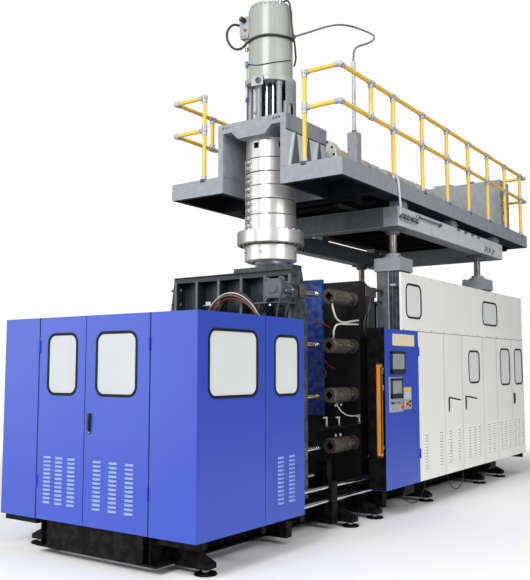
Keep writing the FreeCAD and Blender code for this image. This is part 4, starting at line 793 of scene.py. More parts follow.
fixed = Piece("fixed_panel", "frame", "white_panel", ("cabinet_fixed_panel",))
panel(fixed, "white powder", (6.29, 6.85), (0.31, 2.0785), (), (6.46, 6.66))
fixed.block("rubber edge", (6.8455, 6.85), (-0.0006, 0.0), (0.31, 2.0785), 0.0)
fixed.close()
upper = Piece("upper_panel", "frame", "white_panel", ("cabinet_upper_panel",))
panel(upper, "white powder", (3.66, 8.1), (2.08, 2.76), UPPER_WINDOWS)
upper.block("rubber edge", (3.66, 8.1), (-0.0006, 0.0), (2.08, 2.0845), 0.0)
for k in range(12):
    for z in (2.1, 2.74):
        upper.cap_screw("black plastic", (3.69 + k * 0.4, -0.0005, z), (0, -1, 0), 0.007, 0.003)
upper.close()

# ---------------- controls
screens = Piece("upper_screen_unit", "frame", "grey_plastic", ("upper_screen",))
main = Piece("operator_unit", "frame", "aluminium_plate", ("operator_panel",))


def screen(piece, place, tiles, housing):
    """A display: housing, glass set back in its bezel, and plain fields of colour on the glass."""
    x0, x1, z0, z1 = place
    bezel = 0.028
    front, glass = -0.024, -0.0215
    inner = (x0 + bezel, x1 - bezel, z0 + 2 * bezel, z1 - bezel)
    piece.block(housing, (x0, x1), (front, 0), (inner[3], z1), 0.004)
    piece.block(housing, (x0, x1), (front, 0), (z0, inner[2]), 0.004)
    piece.block(housing, (x0, inner[0]), (front, 0), (z0, z1), 0.004)
    piece.block(housing, (inner[1], x1), (front, 0), (z0, z1), 0.004)
    piece.block("screen glass", (inner[0] - 0.002, inner[1] + 0.002), (glass, -0.004),
        (inner[2] - 0.002, inner[3] + 0.002), 0.0)
    wide, high = inner[1] - inner[0], inner[3] - inner[2]
    for look, left, right, low, up in tiles:
        piece.block(look, (inner[0] + wide * left, inner[0] + wide * right), (glass - 0.0008, glass),
            (inner[2] + high * low, inner[2] + high * up), 0.0)


screen(screens, (3.331, 3.684, 1.577, 1.832), (("screen grey", 0.0, 1.0, 0.0, 1.0),), "black plastic")
for k in range(6):
    at = 3.372 + k * 0.036
    screens.turned("black plastic", [(0, 0), (0, 0.008), (0.003, 0.007), (0.003, 0)], (at, -0.024, 1.605),
        (0, -1, 0), 16)
screens.close()

main.block("panel plate", (3.292, 3.637), (-0.008, 0), (1.152, 1.544), 0.0015)
screen(main, (3.322, 3.607, 1.302, 1.529), (("screen grey", 0.0, 1.0, 0.0, 1.0),), "black plastic")
# the start button and the selector stand in the two gaps of this row
for at, look in ((3.405, "black plastic"), (3.525, "black plastic"), (3.585, "blue plastic")):
    main.turned("bright steel", [(0, 0), (0, 0.016), (0.004, 0.015), (0.004, 0.012)], (at, -0.008, 1.255),
        (0, -1, 0), 24)
    main.rod(look, (at, -0.008, 1.255), (at, -0.019, 1.255), 0.011)
for at, look in ((3.345, "blue plastic"), (3.405, "blue plastic"), (3.465, "orange plastic"),
    (3.525, "yellow plastic")):
    main.turned("bright steel", [(0, 0), (0, 0.014), (0.004, 0.013), (0.004, 0.011)], (at, -0.008, 1.195),
        (0, -1, 0), 24)
    main.rod(look, (at, -0.008, 1.195), (at, -0.016, 1.195), 0.01)
for at in (3.3, 3.629):
    for z in (1.162, 1.534):
        main.cap_screw("bright steel", (at, -0.008, z), (0, -1, 0), 0.004, 0.0015)
for at, z in ((3.465, 1.255), (3.59, 1.205)):
    main.turned("bright steel" if z > 1.22 else "yellow plastic",
        [(0, 0.0125), (0, 0.019), (0.003, 0.018), (0.003, 0.0125), (0, 0.0125)],
        (at, -0.008, z), (0, -1, 0), 28)
main.close()

start = Piece("start_push", "green_button", "black_plastic", ("start_button",))
start.rod("green plastic", (3.465, -0.004, 1.255), (3.465, -0.02, 1.255), 0.012)
start.close()
stop = Piece("stop_push", "stop_button", "red_plastic", ("emergency_stop",))
stop.rod("black plastic", (3.59, -0.004, 1.205), (3.59, -0.021, 1.205), 0.012)
stop.turned("red plastic", [(0, 0), (0, 0.017), (0.003, 0.02), (0.009, 0.02), (0.013, 0.016), (0.0145, 0.008),
        (0.015, 0)],
    (3.59, -0.018, 1.205), (0, -1, 0), 32)
stop.close()
turn = Piece("selector_knob", "selector", "black_plastic", ("selector_switch",))
turn.rod("black plastic", (3.345, -0.008, 1.255), (3.345, -0.02, 1.255), 0.012)
turn.block("black plastic", (3.341, 3.349), (-0.032, -0.019), (1.243, 1.267), 0.002)
turn.block("hose pale", (3.3446, 3.3454), (-0.0322, -0.0315), (1.257, 1.266), 0.0)
turn.close()

trim = Piece("control_cabinet_trim", "frame", "aluminium_plate")
trim.block("cream plate", (3.4, 3.974), (-0.003, 0), (1.898, 2.032), 0.001)
for at in (3.408, 3.966):
    for z in (1.906, 2.024):
        trim.cap_screw("bright steel", (at, -0.003, z), (0, -1, 0), 0.004, 0.0015)
trim.block("panel plate", (3.66, 3.863), (-0.006, 0), (1.17, 1.426), 0.001)
trim.block("yellow plastic", (3.668, 3.855), (-0.0075, -0.005), (1.38, 1.418), 0.0005)
trim.block("screen light", (3.668, 3.855), (-0.0075, -0.005), (1.29, 1.374), 0.0005)
# a black sheet on the side beside the light bar, and the two lift-off hinges of the door
trim.block("black paint", (3.1965, 3.2), (0.001, 0.214), (0.315, 2.095), 0.001)
for z in (1.62, 1.43):
    trim.rod("bright steel", (3.193, 0.02, z - 0.03), (3.193, 0.02, z + 0.03), 0.007, 12)
trim.turned("yellow plastic", [(0, 0), (0, 0.032), (0.004, 0.03), (0.004, 0)], (3.72, -0.006, 1.235),
    (0, -1, 0), 32)
trim.turned("red plastic", [(0, 0), (0, 0.012), (0.016, 0.012), (0.018, 0.02), (0.026, 0.02), (0.031, 0.014),
        (0.032, 0)],
    (3.72, -0.008, 1.235), (0, -1, 0), 32)
trim.rod("black plastic", (3.81, -0.006, 1.26), (3.81, -0.022, 1.26), 0.013)
trim.rod("black plastic", (3.81, -0.006, 1.21), (3.81, -0.018, 1.21), 0.011)
trim.close()

curtain = Piece("light_bar", "frame", "orange_plastic", ("light_curtain",))
curtain.block("orange plastic", (3.07, 3.14), (0, 0.04), (0.69, 1.69), 0.004)
curtain.block("dark gap and painted shade", (3.086, 3.124), (-0.0008, 0.002), (0.72, 1.66), 0.0)
for z in ((0.68, 0.7), (1.68, 1.7)):
    curtain.block("black plastic", (3.068, 3.142), (-0.002, 0.042), z, 0.003)
for z in (0.78, 1.6):
    curtain.block("bright steel", (3.14, 3.2), (0.012, 0.028), (z - 0.02, z + 0.02), 0.002)
curtain.close()

# ---------------- feet
FEET = (0.335, 2.705, 3.26, 4.63, 6.5, 7.34)
feet = Piece("round_feet", "frame", "black_steel", ("levelling_feet",))
for at in FEET:
    feet.turned("black paint", [(0, 0), (0, 0.092), (0.008, 0.095), (0.016, 0.09), (0.022, 0.05), (0.022, 0)],
        (at, 0.18, 0), sides=40)
    feet.turned("bright steel", [(0.02, 0), (0.02, 0.034), (0.046, 0.034), (0.048, 0.032), (0.048, 0)],
        (at, 0.18, 0), sides=6)
    feet.turned("bright steel", [(0.048 + 0.005 * k, 0.018 if k % 2 else 0.0155) for k in range(9)],
        (at, 0.18, 0),
        sides=20)
feet.twin()
feet.close()

# ---------------- railing
DECK = 3.845
PIPE = 0.024
MID_RAIL, TOP_RAIL = 4.45, 4.85
RAIL_LINE, RAIL_FRONT, RAIL_REAR = 0.04, 2.335, 8.596
ARM_POST, STUB = 0.484, 3.03
UP = (0, 0, 1)
POSTS = (3.586, 4.41, 5.214, 5.993, 6.788, 7.58, 8.353)


def ball_fitting(piece, centre, directions):
    """A ball with a collar towards each pipe that enters it."""
    piece.ball("pale fitting", centre, 0.036)
    for direction in directions:
        start = Vector(centre) + Vector(direction) * 0.02
        end = Vector(centre) + Vector(direction) * 0.062
        piece.rod("pale fitting", start, end, 0.031)
        side = Vector((direction[1], direction[2], direction[0]))
        piece.cap_screw("dark fitting", Vector(centre) + Vector(direction) * 0.048 + side * 0.029, side,
            0.006, 0.004)


def base_flange(piece, x, y):
    """The foot of a post: a small bolted plate on the deck."""
    piece.block("dark fitting", (x - 0.045, x + 0.045), (y - 0.03, y + 0.045), (DECK, DECK + 0.01), 0.002)
    piece.turned("pale fitting", [(0.01, 0), (0.01, 0.03), (0.05, 0.03), (0.052, 0.0245)], (x, y, DECK))
    for dx in (-0.036, 0.036):
        piece.bolt("bright steel", (x + dx, y + 0.03, DECK + 0.01), UP, 0.006)


rails = Piece("pipe_railing", "platform", "yellow_pipe", ("guard_railing",))
for z in (TOP_RAIL, MID_RAIL):
    rails.rod("yellow pipe paint", (RAIL_FRONT, RAIL_LINE, z), (RAIL_REAR, RAIL_LINE, z), PIPE)
    rails.rod("yellow pipe paint", (RAIL_FRONT, RAIL_LINE, z), (RAIL_FRONT, ARM_POST, z), PIPE)
    ball_fitting(rails, (RAIL_FRONT, RAIL_LINE, z), ((1, 0, 0), (0, 1, 0)))
    rails.rod("yellow pipe paint", (RAIL_REAR, RAIL_LINE, z), (RAIL_REAR, HALF_WIDTH, z), PIPE)
    ball_fitting(rails, (RAIL_REAR, RAIL_LINE, z), ((-1, 0, 0), (0, 1, 0)))
    for x in POSTS:
        ends = ((1, 0, 0), (-1, 0, 0), (0, 0, -1)) + (((0, 0, 1),) if z < TOP_RAIL else ())
        ball_fitting(rails, (x, RAIL_LINE, z), ends)
ball_fitting(rails, (RAIL_FRONT, ARM_POST, TOP_RAIL), ((0, -1, 0), (0, 0, -1)))
ball_fitting(rails, (RAIL_FRONT, ARM_POST, MID_RAIL), ((0, -1, 0), (0, 0, -1), (0, 0, 1)))
rails.rod("yellow pipe paint", (RAIL_FRONT, ARM_POST, DECK), (RAIL_FRONT, ARM_POST, TOP_RAIL), PIPE)
base_flange(rails, RAIL_FRONT, ARM_POST)
rails.rod("yellow pipe paint", (STUB, RAIL_LINE, MID_RAIL), (STUB, RAIL_LINE, TOP_RAIL), PIPE)
ball_fitting(rails, (STUB, RAIL_LINE, TOP_RAIL), ((1, 0, 0), (-1, 0, 0), (0, 0, -1)))
ball_fitting(rails, (STUB, RAIL_LINE, MID_RAIL), ((1, 0, 0), (-1, 0, 0), (0, 0, 1)))
for x in POSTS:
    rails.rod("yellow pipe paint", (x, RAIL_LINE, DECK), (x, RAIL_LINE, TOP_RAIL), PIPE)
    base_flange(rails, x, RAIL_LINE)
rails.twin()
rails.close()

# ---------------- head
HEAD = Vector((2.7, HALF_WIDTH, 0))


def round_head(angle, radius, z):
    return (HEAD.x + radius * math.cos(angle), HEAD.y + radius * math.sin(angle), z)


head = Piece("banded_head", "platform", "silver_cover", ("accumulator_head",))
head.turned("die steel", [(3.0, 0.215), (2.85, 0.215), (2.846, 0.222), (2.846, 0.262), (2.85, 0.27),
    (2.862, 0.298),
        (2.868, 0.3),
        (3.03, 0.3), (3.036, 0.296), (3.036, 0.215)], HEAD, sides=96)
head.turned("burnt metal", [(3.034, 0.28), (3.034, 0.306), (3.044, 0.306), (3.044, 0.28)], HEAD, sides=96)
head.turned("band metal", [(3.042, 0.215), (3.042, 0.37), (3.046, 0.383), (3.052, 0.387), (3.186, 0.387),
        (3.194, 0.383), (3.198, 0.372),
        (3.2, 0.29), (3.19, 0.215)], HEAD, sides=96)
BANDS = (3.2, 3.378, 3.552, 3.711, 3.866, 4.026)
for k, (low, high) in enumerate(zip(BANDS, BANDS[1:])):
    radius = 0.3 if k % 2 == 0 else 0.294
    head.turned("band metal", [(low + 0.004, 0.27), (low + 0.004, radius - 0.004), (low + 0.008, radius),
            (low + 0.02, radius),
            (low + 0.022, radius - 0.0015), (high - 0.022, radius - 0.0015), (high - 0.02, radius),
            (high - 0.008, radius), (high - 0.004, radius - 0.004), (high - 0.004, 0.27)], HEAD,
        sides=96)
    head.turned("burnt metal", [(high - 0.006, 0.26), (high - 0.006, 0.289), (high + 0.006, 0.289),
            (high + 0.006, 0.26)], HEAD, sides=96)
    for angle in (math.radians(158), math.radians(338)):
        tangent = Vector((-math.sin(angle), math.cos(angle), 0))
        turned_to = Matrix.Rotation(angle - math.pi / 2, 4, "Z")
        for z in (low + 0.045, high - 0.045):
            place = Matrix.Translation(round_head(angle, radius - 0.002, z)) @ turned_to
            head.block("band metal", (-0.03, -0.012), (0, 0.034), (-0.02, 0.02), 0.002, place)
            head.block("band metal", (0.012, 0.03), (0, 0.034), (-0.02, 0.02), 0.002, place)
            head.rod("bright steel", place @ Vector((-0.05, 0.022, 0)), place @ Vector((0.045, 0.022, 0)),
                0.006)
            head.bolt("bright steel", place @ Vector((-0.03, 0.022, 0)), tangent, 0.011)
        place = Matrix.Translation(round_head(angle, radius - 0.002, (low + high) / 2)) @ turned_to
        head.block("burnt metal", (-0.006, 0.006), (-0.004, 0.003),
            ((low - high) / 2 + 0.01, (high - low) / 2 - 0.01), 0.0, place)
    for angle in (math.radians(205), math.radians(262)):
        head.bolt("die steel", round_head(angle, radius - 0.001, high - 0.013),
            (math.cos(angle), math.sin(angle), 0), 0.006)
SHOULDER = (4.026, 4.237)
ports = [math.radians(60 * k) for k in range(6)]
wall, half_port = 0.288, 0.0325
profile_low, profile_high = SHOULDER[1] - 0.065 - half_port, SHOULDER[1] - 0.065 + half_port
half_angle = math.asin(half_port / wall)
for k, port in enumerate(ports):
    following = ports[(k + 1) % 6] + (2 * math.pi if k == 5 else 0)
    steps = [port + half_angle + (following - port - 2 * half_angle) * s / 12 for s in range(13)]
    for a, b in zip(steps, steps[1:]):
        part = bmesh.new()
        corners = [(a, profile_low), (b, profile_low), (b, profile_high), (a, profile_high)]
        part.faces.new([part.verts.new(round_head(t, wall, z)) for t, z in corners])
        head.absorb(part, "band metal")
    steps = [port - half_angle + 2 * half_angle * s / 3 for s in range(4)]
    for z_a, z_b in ((profile_low, profile_low), (profile_high, profile_high)):
        for a, b in zip(steps, steps[1:]):
            part = bmesh.new()
            part.faces.new([part.verts.new(p) for p in (round_head(a, wall, z_a), round_head(b, wall, z_a),
                        round_head(b, wall - 0.05, z_b),
                        round_head(a, wall - 0.05, z_b))])
            head.absorb(part, "burnt metal")
    for side in (port - half_angle, port + half_angle):
        part = bmesh.new()
        part.faces.new([part.verts.new(p) for p in (round_head(side, wall, profile_low),
                    round_head(side, wall, profile_high),
                    round_head(side, wall - 0.05, profile_high),
                    round_head(side, wall - 0.05, profile_low))])
        head.absorb(part, "burnt metal")
head.turned("dark gap and painted shade", [(profile_low - 0.005, 0.24), (profile_high + 0.005, 0.24)], HEAD, sides=72)
head.turned("band metal", [(SHOULDER[0] + 0.006, 0.24), (SHOULDER[0] + 0.006, 0.284),
    (SHOULDER[0] + 0.01, wall),
        (profile_low, wall)], HEAD, sides=72)
head.turned("band metal", [(profile_high, wall), (SHOULDER[1] - 0.004, wall), (SHOULDER[1], 0.284),
        (SHOULDER[1], 0.24)], HEAD, sides=72)
head.turned("dark gap and painted shade", [(SHOULDER[1] - 0.002, 0.24), (SHOULDER[1] - 0.002, 0.279),
    (SHOULDER[1] + 0.004, 0.279),
        (SHOULDER[1] + 0.004, 0.24)], HEAD, sides=72)
head.turned("die steel", [(SHOULDER[1] + 0.002, 0.1), (SHOULDER[1] + 0.002, 0.283), (4.256, 0.283),
    (4.256, 0.1)],
    HEAD, sides=72)
for k in range(24):
    angle = 2 * math.pi * k / 24 + 0.1
    head.bolt("die steel", round_head(angle, 0.355, 3.199), UP, 0.014)
    head.cap_screw("burnt metal", round_head(angle, 0.345, 3.044), (0, 0, -1), 0.013, 0.01)
for k in range(8):
    angle = 2 * math.pi * k / 8 + 0.2
    out = (math.cos(angle), math.sin(angle), 0)
    head.bolt("bright steel", round_head(angle, 0.298, 2.95), out, 0.013, 0.02)
head.close(30)

core = Piece("die_core_tip", "die_core", "bright_steel", ("die_core",))
core.turned("die steel", [(2.825, 0), (2.825, 0.12), (2.829, 0.124), (2.829, 0.166), (2.825, 0.17),
    (2.827, 0.176),
        (2.865, 0.194), (2.87, 0.195),
        (2.975, 0.195), (2.975, 0.05), (3.1, 0.05), (3.1, 0)], HEAD, sides=96)
for k in range(6):
    core.cap_screw("burnt metal", round_head(2 * math.pi * k / 6, 0.09, 2.826), (0, 0, -1), 0.012, 0.004)
core.close()

cylinder = Piece("head_cylinder", "platform", "light_grey_steel", ("hydraulic_cylinder",))
cylinder.turned("light green grey", [(4.93, 0), (4.93, 0.296), (4.934, 0.3), (4.986, 0.3), (4.99, 0.296),
        (4.99, 0.262), (4.994, 0.26),
        (5.845, 0.26), (5.85, 0.256), (5.85, 0.248), (5.856, 0.245), (5.889, 0.245),
        (5.895, 0.239), (5.895, 0)],
    HEAD, sides=96)
for k in range(26):
    cylinder.cap_screw("dark fitting", round_head(2 * math.pi * k / 26 + 0.12, 0.243, 5.85), UP, 0.011, 0.018)
for k in range(12):
    cylinder.cap_screw("dark fitting", round_head(2 * math.pi * k / 12 + 0.12, 0.17, 5.895), UP, 0.016, 0.016)
    cylinder.bolt("dark fitting", round_head(2 * math.pi * k / 12 + 0.2, 0.28, 4.989), UP, 0.012)
eye = Vector(round_head(math.radians(241), 0.25, 5.85))
cylinder.rod("bright steel", eye, eye + Vector((0, 0, 0.03)), 0.016)
rings = []
for k in range(20):
    a = 2 * math.pi * k / 20
    out = Vector((0.5767 * math.cos(a), -0.817 * math.cos(a), math.sin(a)))
    middle = eye + Vector((0, 0, 0.046)) + out * 0.022
    across = Vector((0.817, 0.5767, 0))
    turns = [2 * math.pi * j / 10 for j in range(10)]
    rings.append([middle + (out * math.cos(b) + across * math.sin(b)) * 0.006 for b in turns])
cylinder.loops("dark fitting", rings)
# valve block on the far side, with its coils and fittings
cylinder.block("pale fitting", (2.57, 2.74), (1.4, 1.55), (5.6, 5.83), 0.006)
cylinder.block("bright steel", (2.56, 2.75), (1.42, 1.53), (5.56, 5.6), 0.004)
cylinder.rod("black plastic", (2.57, 1.475, 5.78), (2.5, 1.475, 5.78), 0.032)
cylinder.rod("brass parts", (2.5, 1.475, 5.78), (2.48, 1.475, 5.78), 0.016)
cylinder.rod("pale fitting", (2.655, 1.475, 5.56), (2.655, 1.475, 5.46), 0.045)
cylinder.rod("brass parts", (2.62, 1.475, 5.46), (2.62, 1.475, 5.42), 0.02)
cylinder.rod("brass parts", (2.57, 1.46, 5.66), (2.535, 1.46, 5.66), 0.016)
cylinder.rod("bright steel", (2.655, 1.44, 5.5), (2.66, 1.38, 5.5), 0.03)
for x in (2.6, 2.7):
    for y in (1.43, 1.52):
        cylinder.cap_screw("dark fitting", (x, y, 5.83), UP, 0.011, 0.012)
# transducer rod with its blue ends, and the switch plate on the front of the flange
rod_x, rod_y = 2.518, 1.4
cylinder.rod("hose pale", (rod_x, rod_y, 4.8), (rod_x, rod_y, 5.16), 0.014)
cylinder.rod("blue plastic", (rod_x, rod_y, 5.16), (rod_x, rod_y, 5.24), 0.017)
cylinder.rod("blue plastic", (rod_x, rod_y, 4.75), (rod_x, rod_y, 4.8), 0.017)
for z in (4.99, 5.2):
    cylinder.block("bright steel", (rod_x - 0.02, rod_x + 0.05), (rod_y - 0.05, rod_y + 0.02),
        (z, z + 0.012), 0.002)
facing = math.radians(185.6)
place = Matrix.Translation(round_head(facing, 0.3, 4.92)) @ Matrix.Rotation(facing - math.pi / 2, 4, "Z")
cylinder.block("pale fitting", (-0.078, 0.078), (0.012, 0.022), (-0.058, 0.062), 0.004, place)
cylinder.block("bright steel", (-0.06, 0.06), (-0.03, 0.014), (0.05, 0.062), 0.002, place)
cylinder.turned("dark fitting", [(0, 0), (0, 0.036), (0.012, 0.036), (0.016, 0.028), (0.016, 0.018),
    (0.008, 0.016),
        (0.008, 0)],
    (-0.02, 0.022, -0.004), (0, 1, 0), 32, place)
for x in (-0.066, 0.066):
    cylinder.cap_screw("dark fitting", (x, 0.022, 0.045), (0, 1, 0), 0.006, 0.004, place)
gland = Vector((2.87, 0.965, 5.563))
inward = Vector((-0.15, 0.085, -0.077)).normalized()
cylinder.rod("bright steel", gland, gland + inward * 0.08, 0.022)
cylinder.rod("dark fitting", gland - inward * 0.012, gland + inward * 0.02, 0.026)
cylinder.close(32)

POST_LOW, POST_TOP = 4.45, 4.93
posts = Piece("cylinder_posts", "platform", "bright_steel", ("head_posts",))
for k in range(6):
    x, y, _ = round_head(math.radians(60 * k), 0.235, 0)
    posts.turned("grey paint", [(POST_LOW, 0), (POST_LOW, 0.04), (4.49, 0.04), (4.494, 0.032), (4.886, 0.032),
            (4.89, 0.04), (POST_TOP, 0.04), (POST_TOP, 0)],
        (x, y, 0), sides=32)
posts.turned("platen paint", [(4.452, 0.15), (4.6, 0.15), (4.604, 0.135), (4.76, 0.135), (4.764, 0.15),
        (POST_TOP, 0.15)], HEAD, sides=64)
for angle in (142, 164, 200, 224, 248):
    posts.rod("chrome plate", round_head(math.radians(angle), 0.18, POST_LOW),
        round_head(math.radians(angle), 0.18, POST_TOP), 0.015)
x, y, _ = round_head(math.radians(165), 0.235, 0)
posts.rod("hose pale", (x, y, POST_LOW), (x, y, 4.86), 0.02)
posts.rod("hose pale", round_head(math.radians(269), 0.23, 4.47), round_head(math.radians(269), 0.23, 4.72),
    0.045,
    32)
posts.rod("brass parts", (x - 0.02, y - 0.012, 4.57), (x - 0.045, y - 0.03, 4.57), 0.012)
posts.close(32)

# curved skirt between the yoke and the cylinder's flange: open towards the door end, with one rounded opening
skirt = Piece("yoke_skirt", "platform", "grey_steel")
SKIRT = {"outer": 0.3, "inner": 0.29, "low": 4.452, "high": 4.93, "middle": 4.59, "half_height": 0.09,
    "towards": 269, "half_width": 11}


def opening(angle):
    """Half the height of the skirt's opening at an angle, in degrees."""
    across = abs(angle - SKIRT["towards"]) / SKIRT["half_width"]
    return SKIRT["half_height"] * math.sqrt(max(0.0, 1 - across ** 4))


angles = [251, 254, 257] + list(range(258, 281)) + list(range(281, 470, 4))
for first, second in zip(angles, angles[1:]):
    turn = [math.radians(first), math.radians(second)]
    gap = [opening(first), opening(second)]
    for low, high in (((SKIRT["low"],) * 2, [SKIRT["middle"] - g for g in gap]),
        ([SKIRT["middle"] + g for g in gap], (SKIRT["high"],) * 2)):
        outer = [round_head(turn[0], SKIRT["outer"], low[0]), round_head(turn[1], SKIRT["outer"], low[1]),
            round_head(turn[1], SKIRT["outer"], high[1]), round_head(turn[0], SKIRT["outer"], high[0])]
        inner = [round_head(turn[0], SKIRT["inner"], low[0]), round_head(turn[1], SKIRT["inner"], low[1]),
            round_head(turn[1], SKIRT["inner"], high[1]), round_head(turn[0], SKIRT["inner"], high[0])]
        skirt.loops("grey paint", [outer, inner], closed=False)
        for corners in (outer, inner):
            part = bmesh.new()
            part.faces.new([part.verts.new(corner) for corner in corners])
            skirt.absorb(part, "grey paint")
for place in (STRAIGHT, FAR_SIDE):
    # outer face of a yoke leg: the cross beam's end, a dark line, and a panel with pointed stiffeners
    skirt.block("grey paint", (2.312, 3.178), (0.71, 0.715), (4.268, 4.449), 0.001, place)
    skirt.block("dark gap and painted shade", (2.312, 3.178), (0.7135, 0.715), (4.254, 4.268), 0.0, place)
    skirt.block("light grey paint and painted light", (2.312, 3.178), (0.713, 0.715), (3.85, 4.254), 0.0, place)
    skirt.block("grey paint", (2.33, 3.16), (0.785, 0.788), (3.852, 4.256), 0.0, place)
    # pointed stiffeners drawn flat: a thin dark plate as painted shade of each one's shaded side, and a pale
    # rib as painted light along its lit edge
    for foot in (2.4, 2.66, 2.9):
        outline = [(foot, 0.713, 3.852), (foot + 0.2, 0.713, 3.852), (foot + 0.13, 0.713, 4.25),
            (foot + 0.09, 0.713, 4.25)]
        skirt.prism("dark grey paint and painted shade", outline, (0, -0.006, 0), 0.0008, place)
    for foot in (2.36, 2.62, 2.86):
        outline = [(foot, 0.713, 3.852), (foot + 0.03, 0.713, 3.852), (foot + 0.12, 0.713, 4.25),
            (foot + 0.09, 0.713, 4.25)]
        skirt.prism("light grey paint and painted light", outline, (0, -0.02, 0), 0.0008, place)
for y in (0.8, 0.84, 0.88, 1.5, 1.54, 1.58):
    skirt.bolt("dark fitting", (2.31, y, 4.41), (-1, 0, 0), 0.012)
for y in (0.84, 0.96, 1.42, 1.54):
    for x in (2.38, 3.1):
        skirt.bolt("dark fitting", (x, y, 4.45), UP, 0.014)
skirt.close()

# ---------------- extruder
barrel = Piece("covered_barrel", "platform", "silver_cover", ("extruder_barrel",))
AXIS = Vector((0, HALF_WIDTH, 4.35))
barrel.turned("burnt metal", [(3.18, 0.07), (3.18, 0.088), (3.84, 0.088), (3.84, 0.0)], AXIS, (1, 0, 0), 40)
for x in (3.24, 3.4, 3.56):
    barrel.turned("band metal", [(x, 0.08), (x, 0.1), (x + 0.11, 0.1), (x + 0.11, 0.08)], AXIS, (1, 0, 0), 48)
barrel.turned("die steel", [(3.82, 0), (3.82, 0.228), (3.826, 0.235), (3.934, 0.235), (3.94, 0.228),
    (3.94, 0.17)],
    AXIS, (1, 0, 0), 72)
for k in range(12):
    angle = 2 * math.pi * k / 12
    barrel.bolt("burnt metal", (3.82, HALF_WIDTH + 0.2 * math.cos(angle), 4.35 + 0.2 * math.sin(angle)),
        (-1, 0, 0),
        0.016)
rings = []
steps, sides = 150, 56
for i in range(steps + 1):
    x = 3.94 + (7.69 - 3.94) * i / steps
    strap = min(abs((x - 3.94) % 0.625 - 0.3125), 0.3125)
    pinch = 0.012 * math.exp(-(strap / 0.03) ** 2)
    ring = []
    for k in range(sides):
        a = 2 * math.pi * k / sides
        spot = Vector((x * 5.0, math.cos(a) * 1.6, math.sin(a) * 1.6))
        crumple = noise.fractal(spot, 0.9, 2.1, 4) * 0.022 + abs(noise.noise(spot * 2.3)) * 0.02
        radius = 0.176 + crumple - pinch
        ring.append((x, HALF_WIDTH + radius * math.cos(a), 4.35 + radius * math.sin(a)))
    rings.append(ring)
barrel.loops("cover foil", rings, closed=False)
for k in range(6):
    x = 3.94 + 0.625 * k + 0.3125
    barrel.turned("bright steel", [(x - 0.012, 0.17), (x - 0.012, 0.186), (x + 0.012, 0.186),
        (x + 0.012, 0.17)],
        AXIS, (1, 0, 0), 64)
for x in (4.4, 5.7, 7.0):
    for y in (HALF_WIDTH - 0.14, HALF_WIDTH + 0.1):
        barrel.block("grey paint", (x, x + 0.08), (y, y + 0.04), (DECK, 4.27), 0.003)
    barrel.block("grey paint", (x, x + 0.08), (HALF_WIDTH - 0.14, HALF_WIDTH + 0.14), (4.12, 4.2), 0.003)
    barrel.block("grey paint", (x - 0.03, x + 0.11), (HALF_WIDTH - 0.16, HALF_WIDTH + 0.16),
        (DECK, DECK + 0.014),
        0.002)
barrel.block("yellow plastic", (4.06, 4.12), (HALF_WIDTH - 0.21, HALF_WIDTH - 0.2), (4.36, 4.42), 0.002)
barrel.close(50)

drive = Piece("drive_details", "platform", "grey_steel")
for z in (3.975, 4.315):
    drive.block("dark gap and painted shade", (7.802, 7.998), (0.2, 0.2098), (z + 0.002, z + 0.198), 0.0)
    for x in (7.83, 7.88, 7.93, 7.98):
        drive.rod("bright steel", (x, 0.185, z + 0.04), (x, 0.185, z + 0.16), 0.008, 12)
drive.block("dark fitting", (7.7, 8.1), (0.146, 0.15), (4.255, 4.262), 0.001)
for x in (7.72, 8.08):
    for z in (3.88, 4.24, 4.64):
        drive.bolt("dark fitting", (x, 0.15, z), (0, -1, 0), 0.01)
drive.rod("dark fitting", (7.9, 0.7, 4.67), (7.9, 0.7, 4.74), 0.05)
drive.block("grey paint", (7.74, 8.06), (1.0, 1.3), (4.67, 4.72), 0.01)
drive.close()

# ---------------- hose pole
pole = Piece("conduit_pole", "platform", "bright_steel", ("hose_pole",))
px, py, top = 3.11, 0.3, 5.18
for form in (
    ((px - 0.06, px + 0.06), (py - 0.06, py + 0.06), (DECK, 4.33), 0.004),
    ((px - 0.064, px - 0.06), (py - 0.05, py + 0.05), (3.9, 4.28), 0.002),
    ((px - 0.05, px + 0.05), (py - 0.064, py - 0.06), (3.9, 4.28), 0.002),
):
    pole.block("grey paint", *form)
pole.rod("pale fitting", (px, py, 4.33), (px, py, 5.12), 0.021)
pole.rod("pale fitting", (px, py, 5.1), (px, py, 5.18), 0.024)
pole.rod("dark fitting", (px, py, 4.33), (px, py, 4.36), 0.03)
for z in (3.96, 4.2):
    pole.cap_screw("dark fitting", (px, py - 0.064, z), (0, -1, 0), 0.006, 0.003)
pole.close()

# ---------------- lift
lift = Piece("lift_details", "lift", "grey_steel")
for x in (3.85, 5.45, 7.15):
    for dx in (0.035, 0.145):
        lift.bolt("dark fitting", (x + dx, 0.06, 3.6), (0, -1, 0), 0.012)
        lift.bolt("dark fitting", (x + dx, 0.075, 3.558), (0, 0, -1), 0.011)
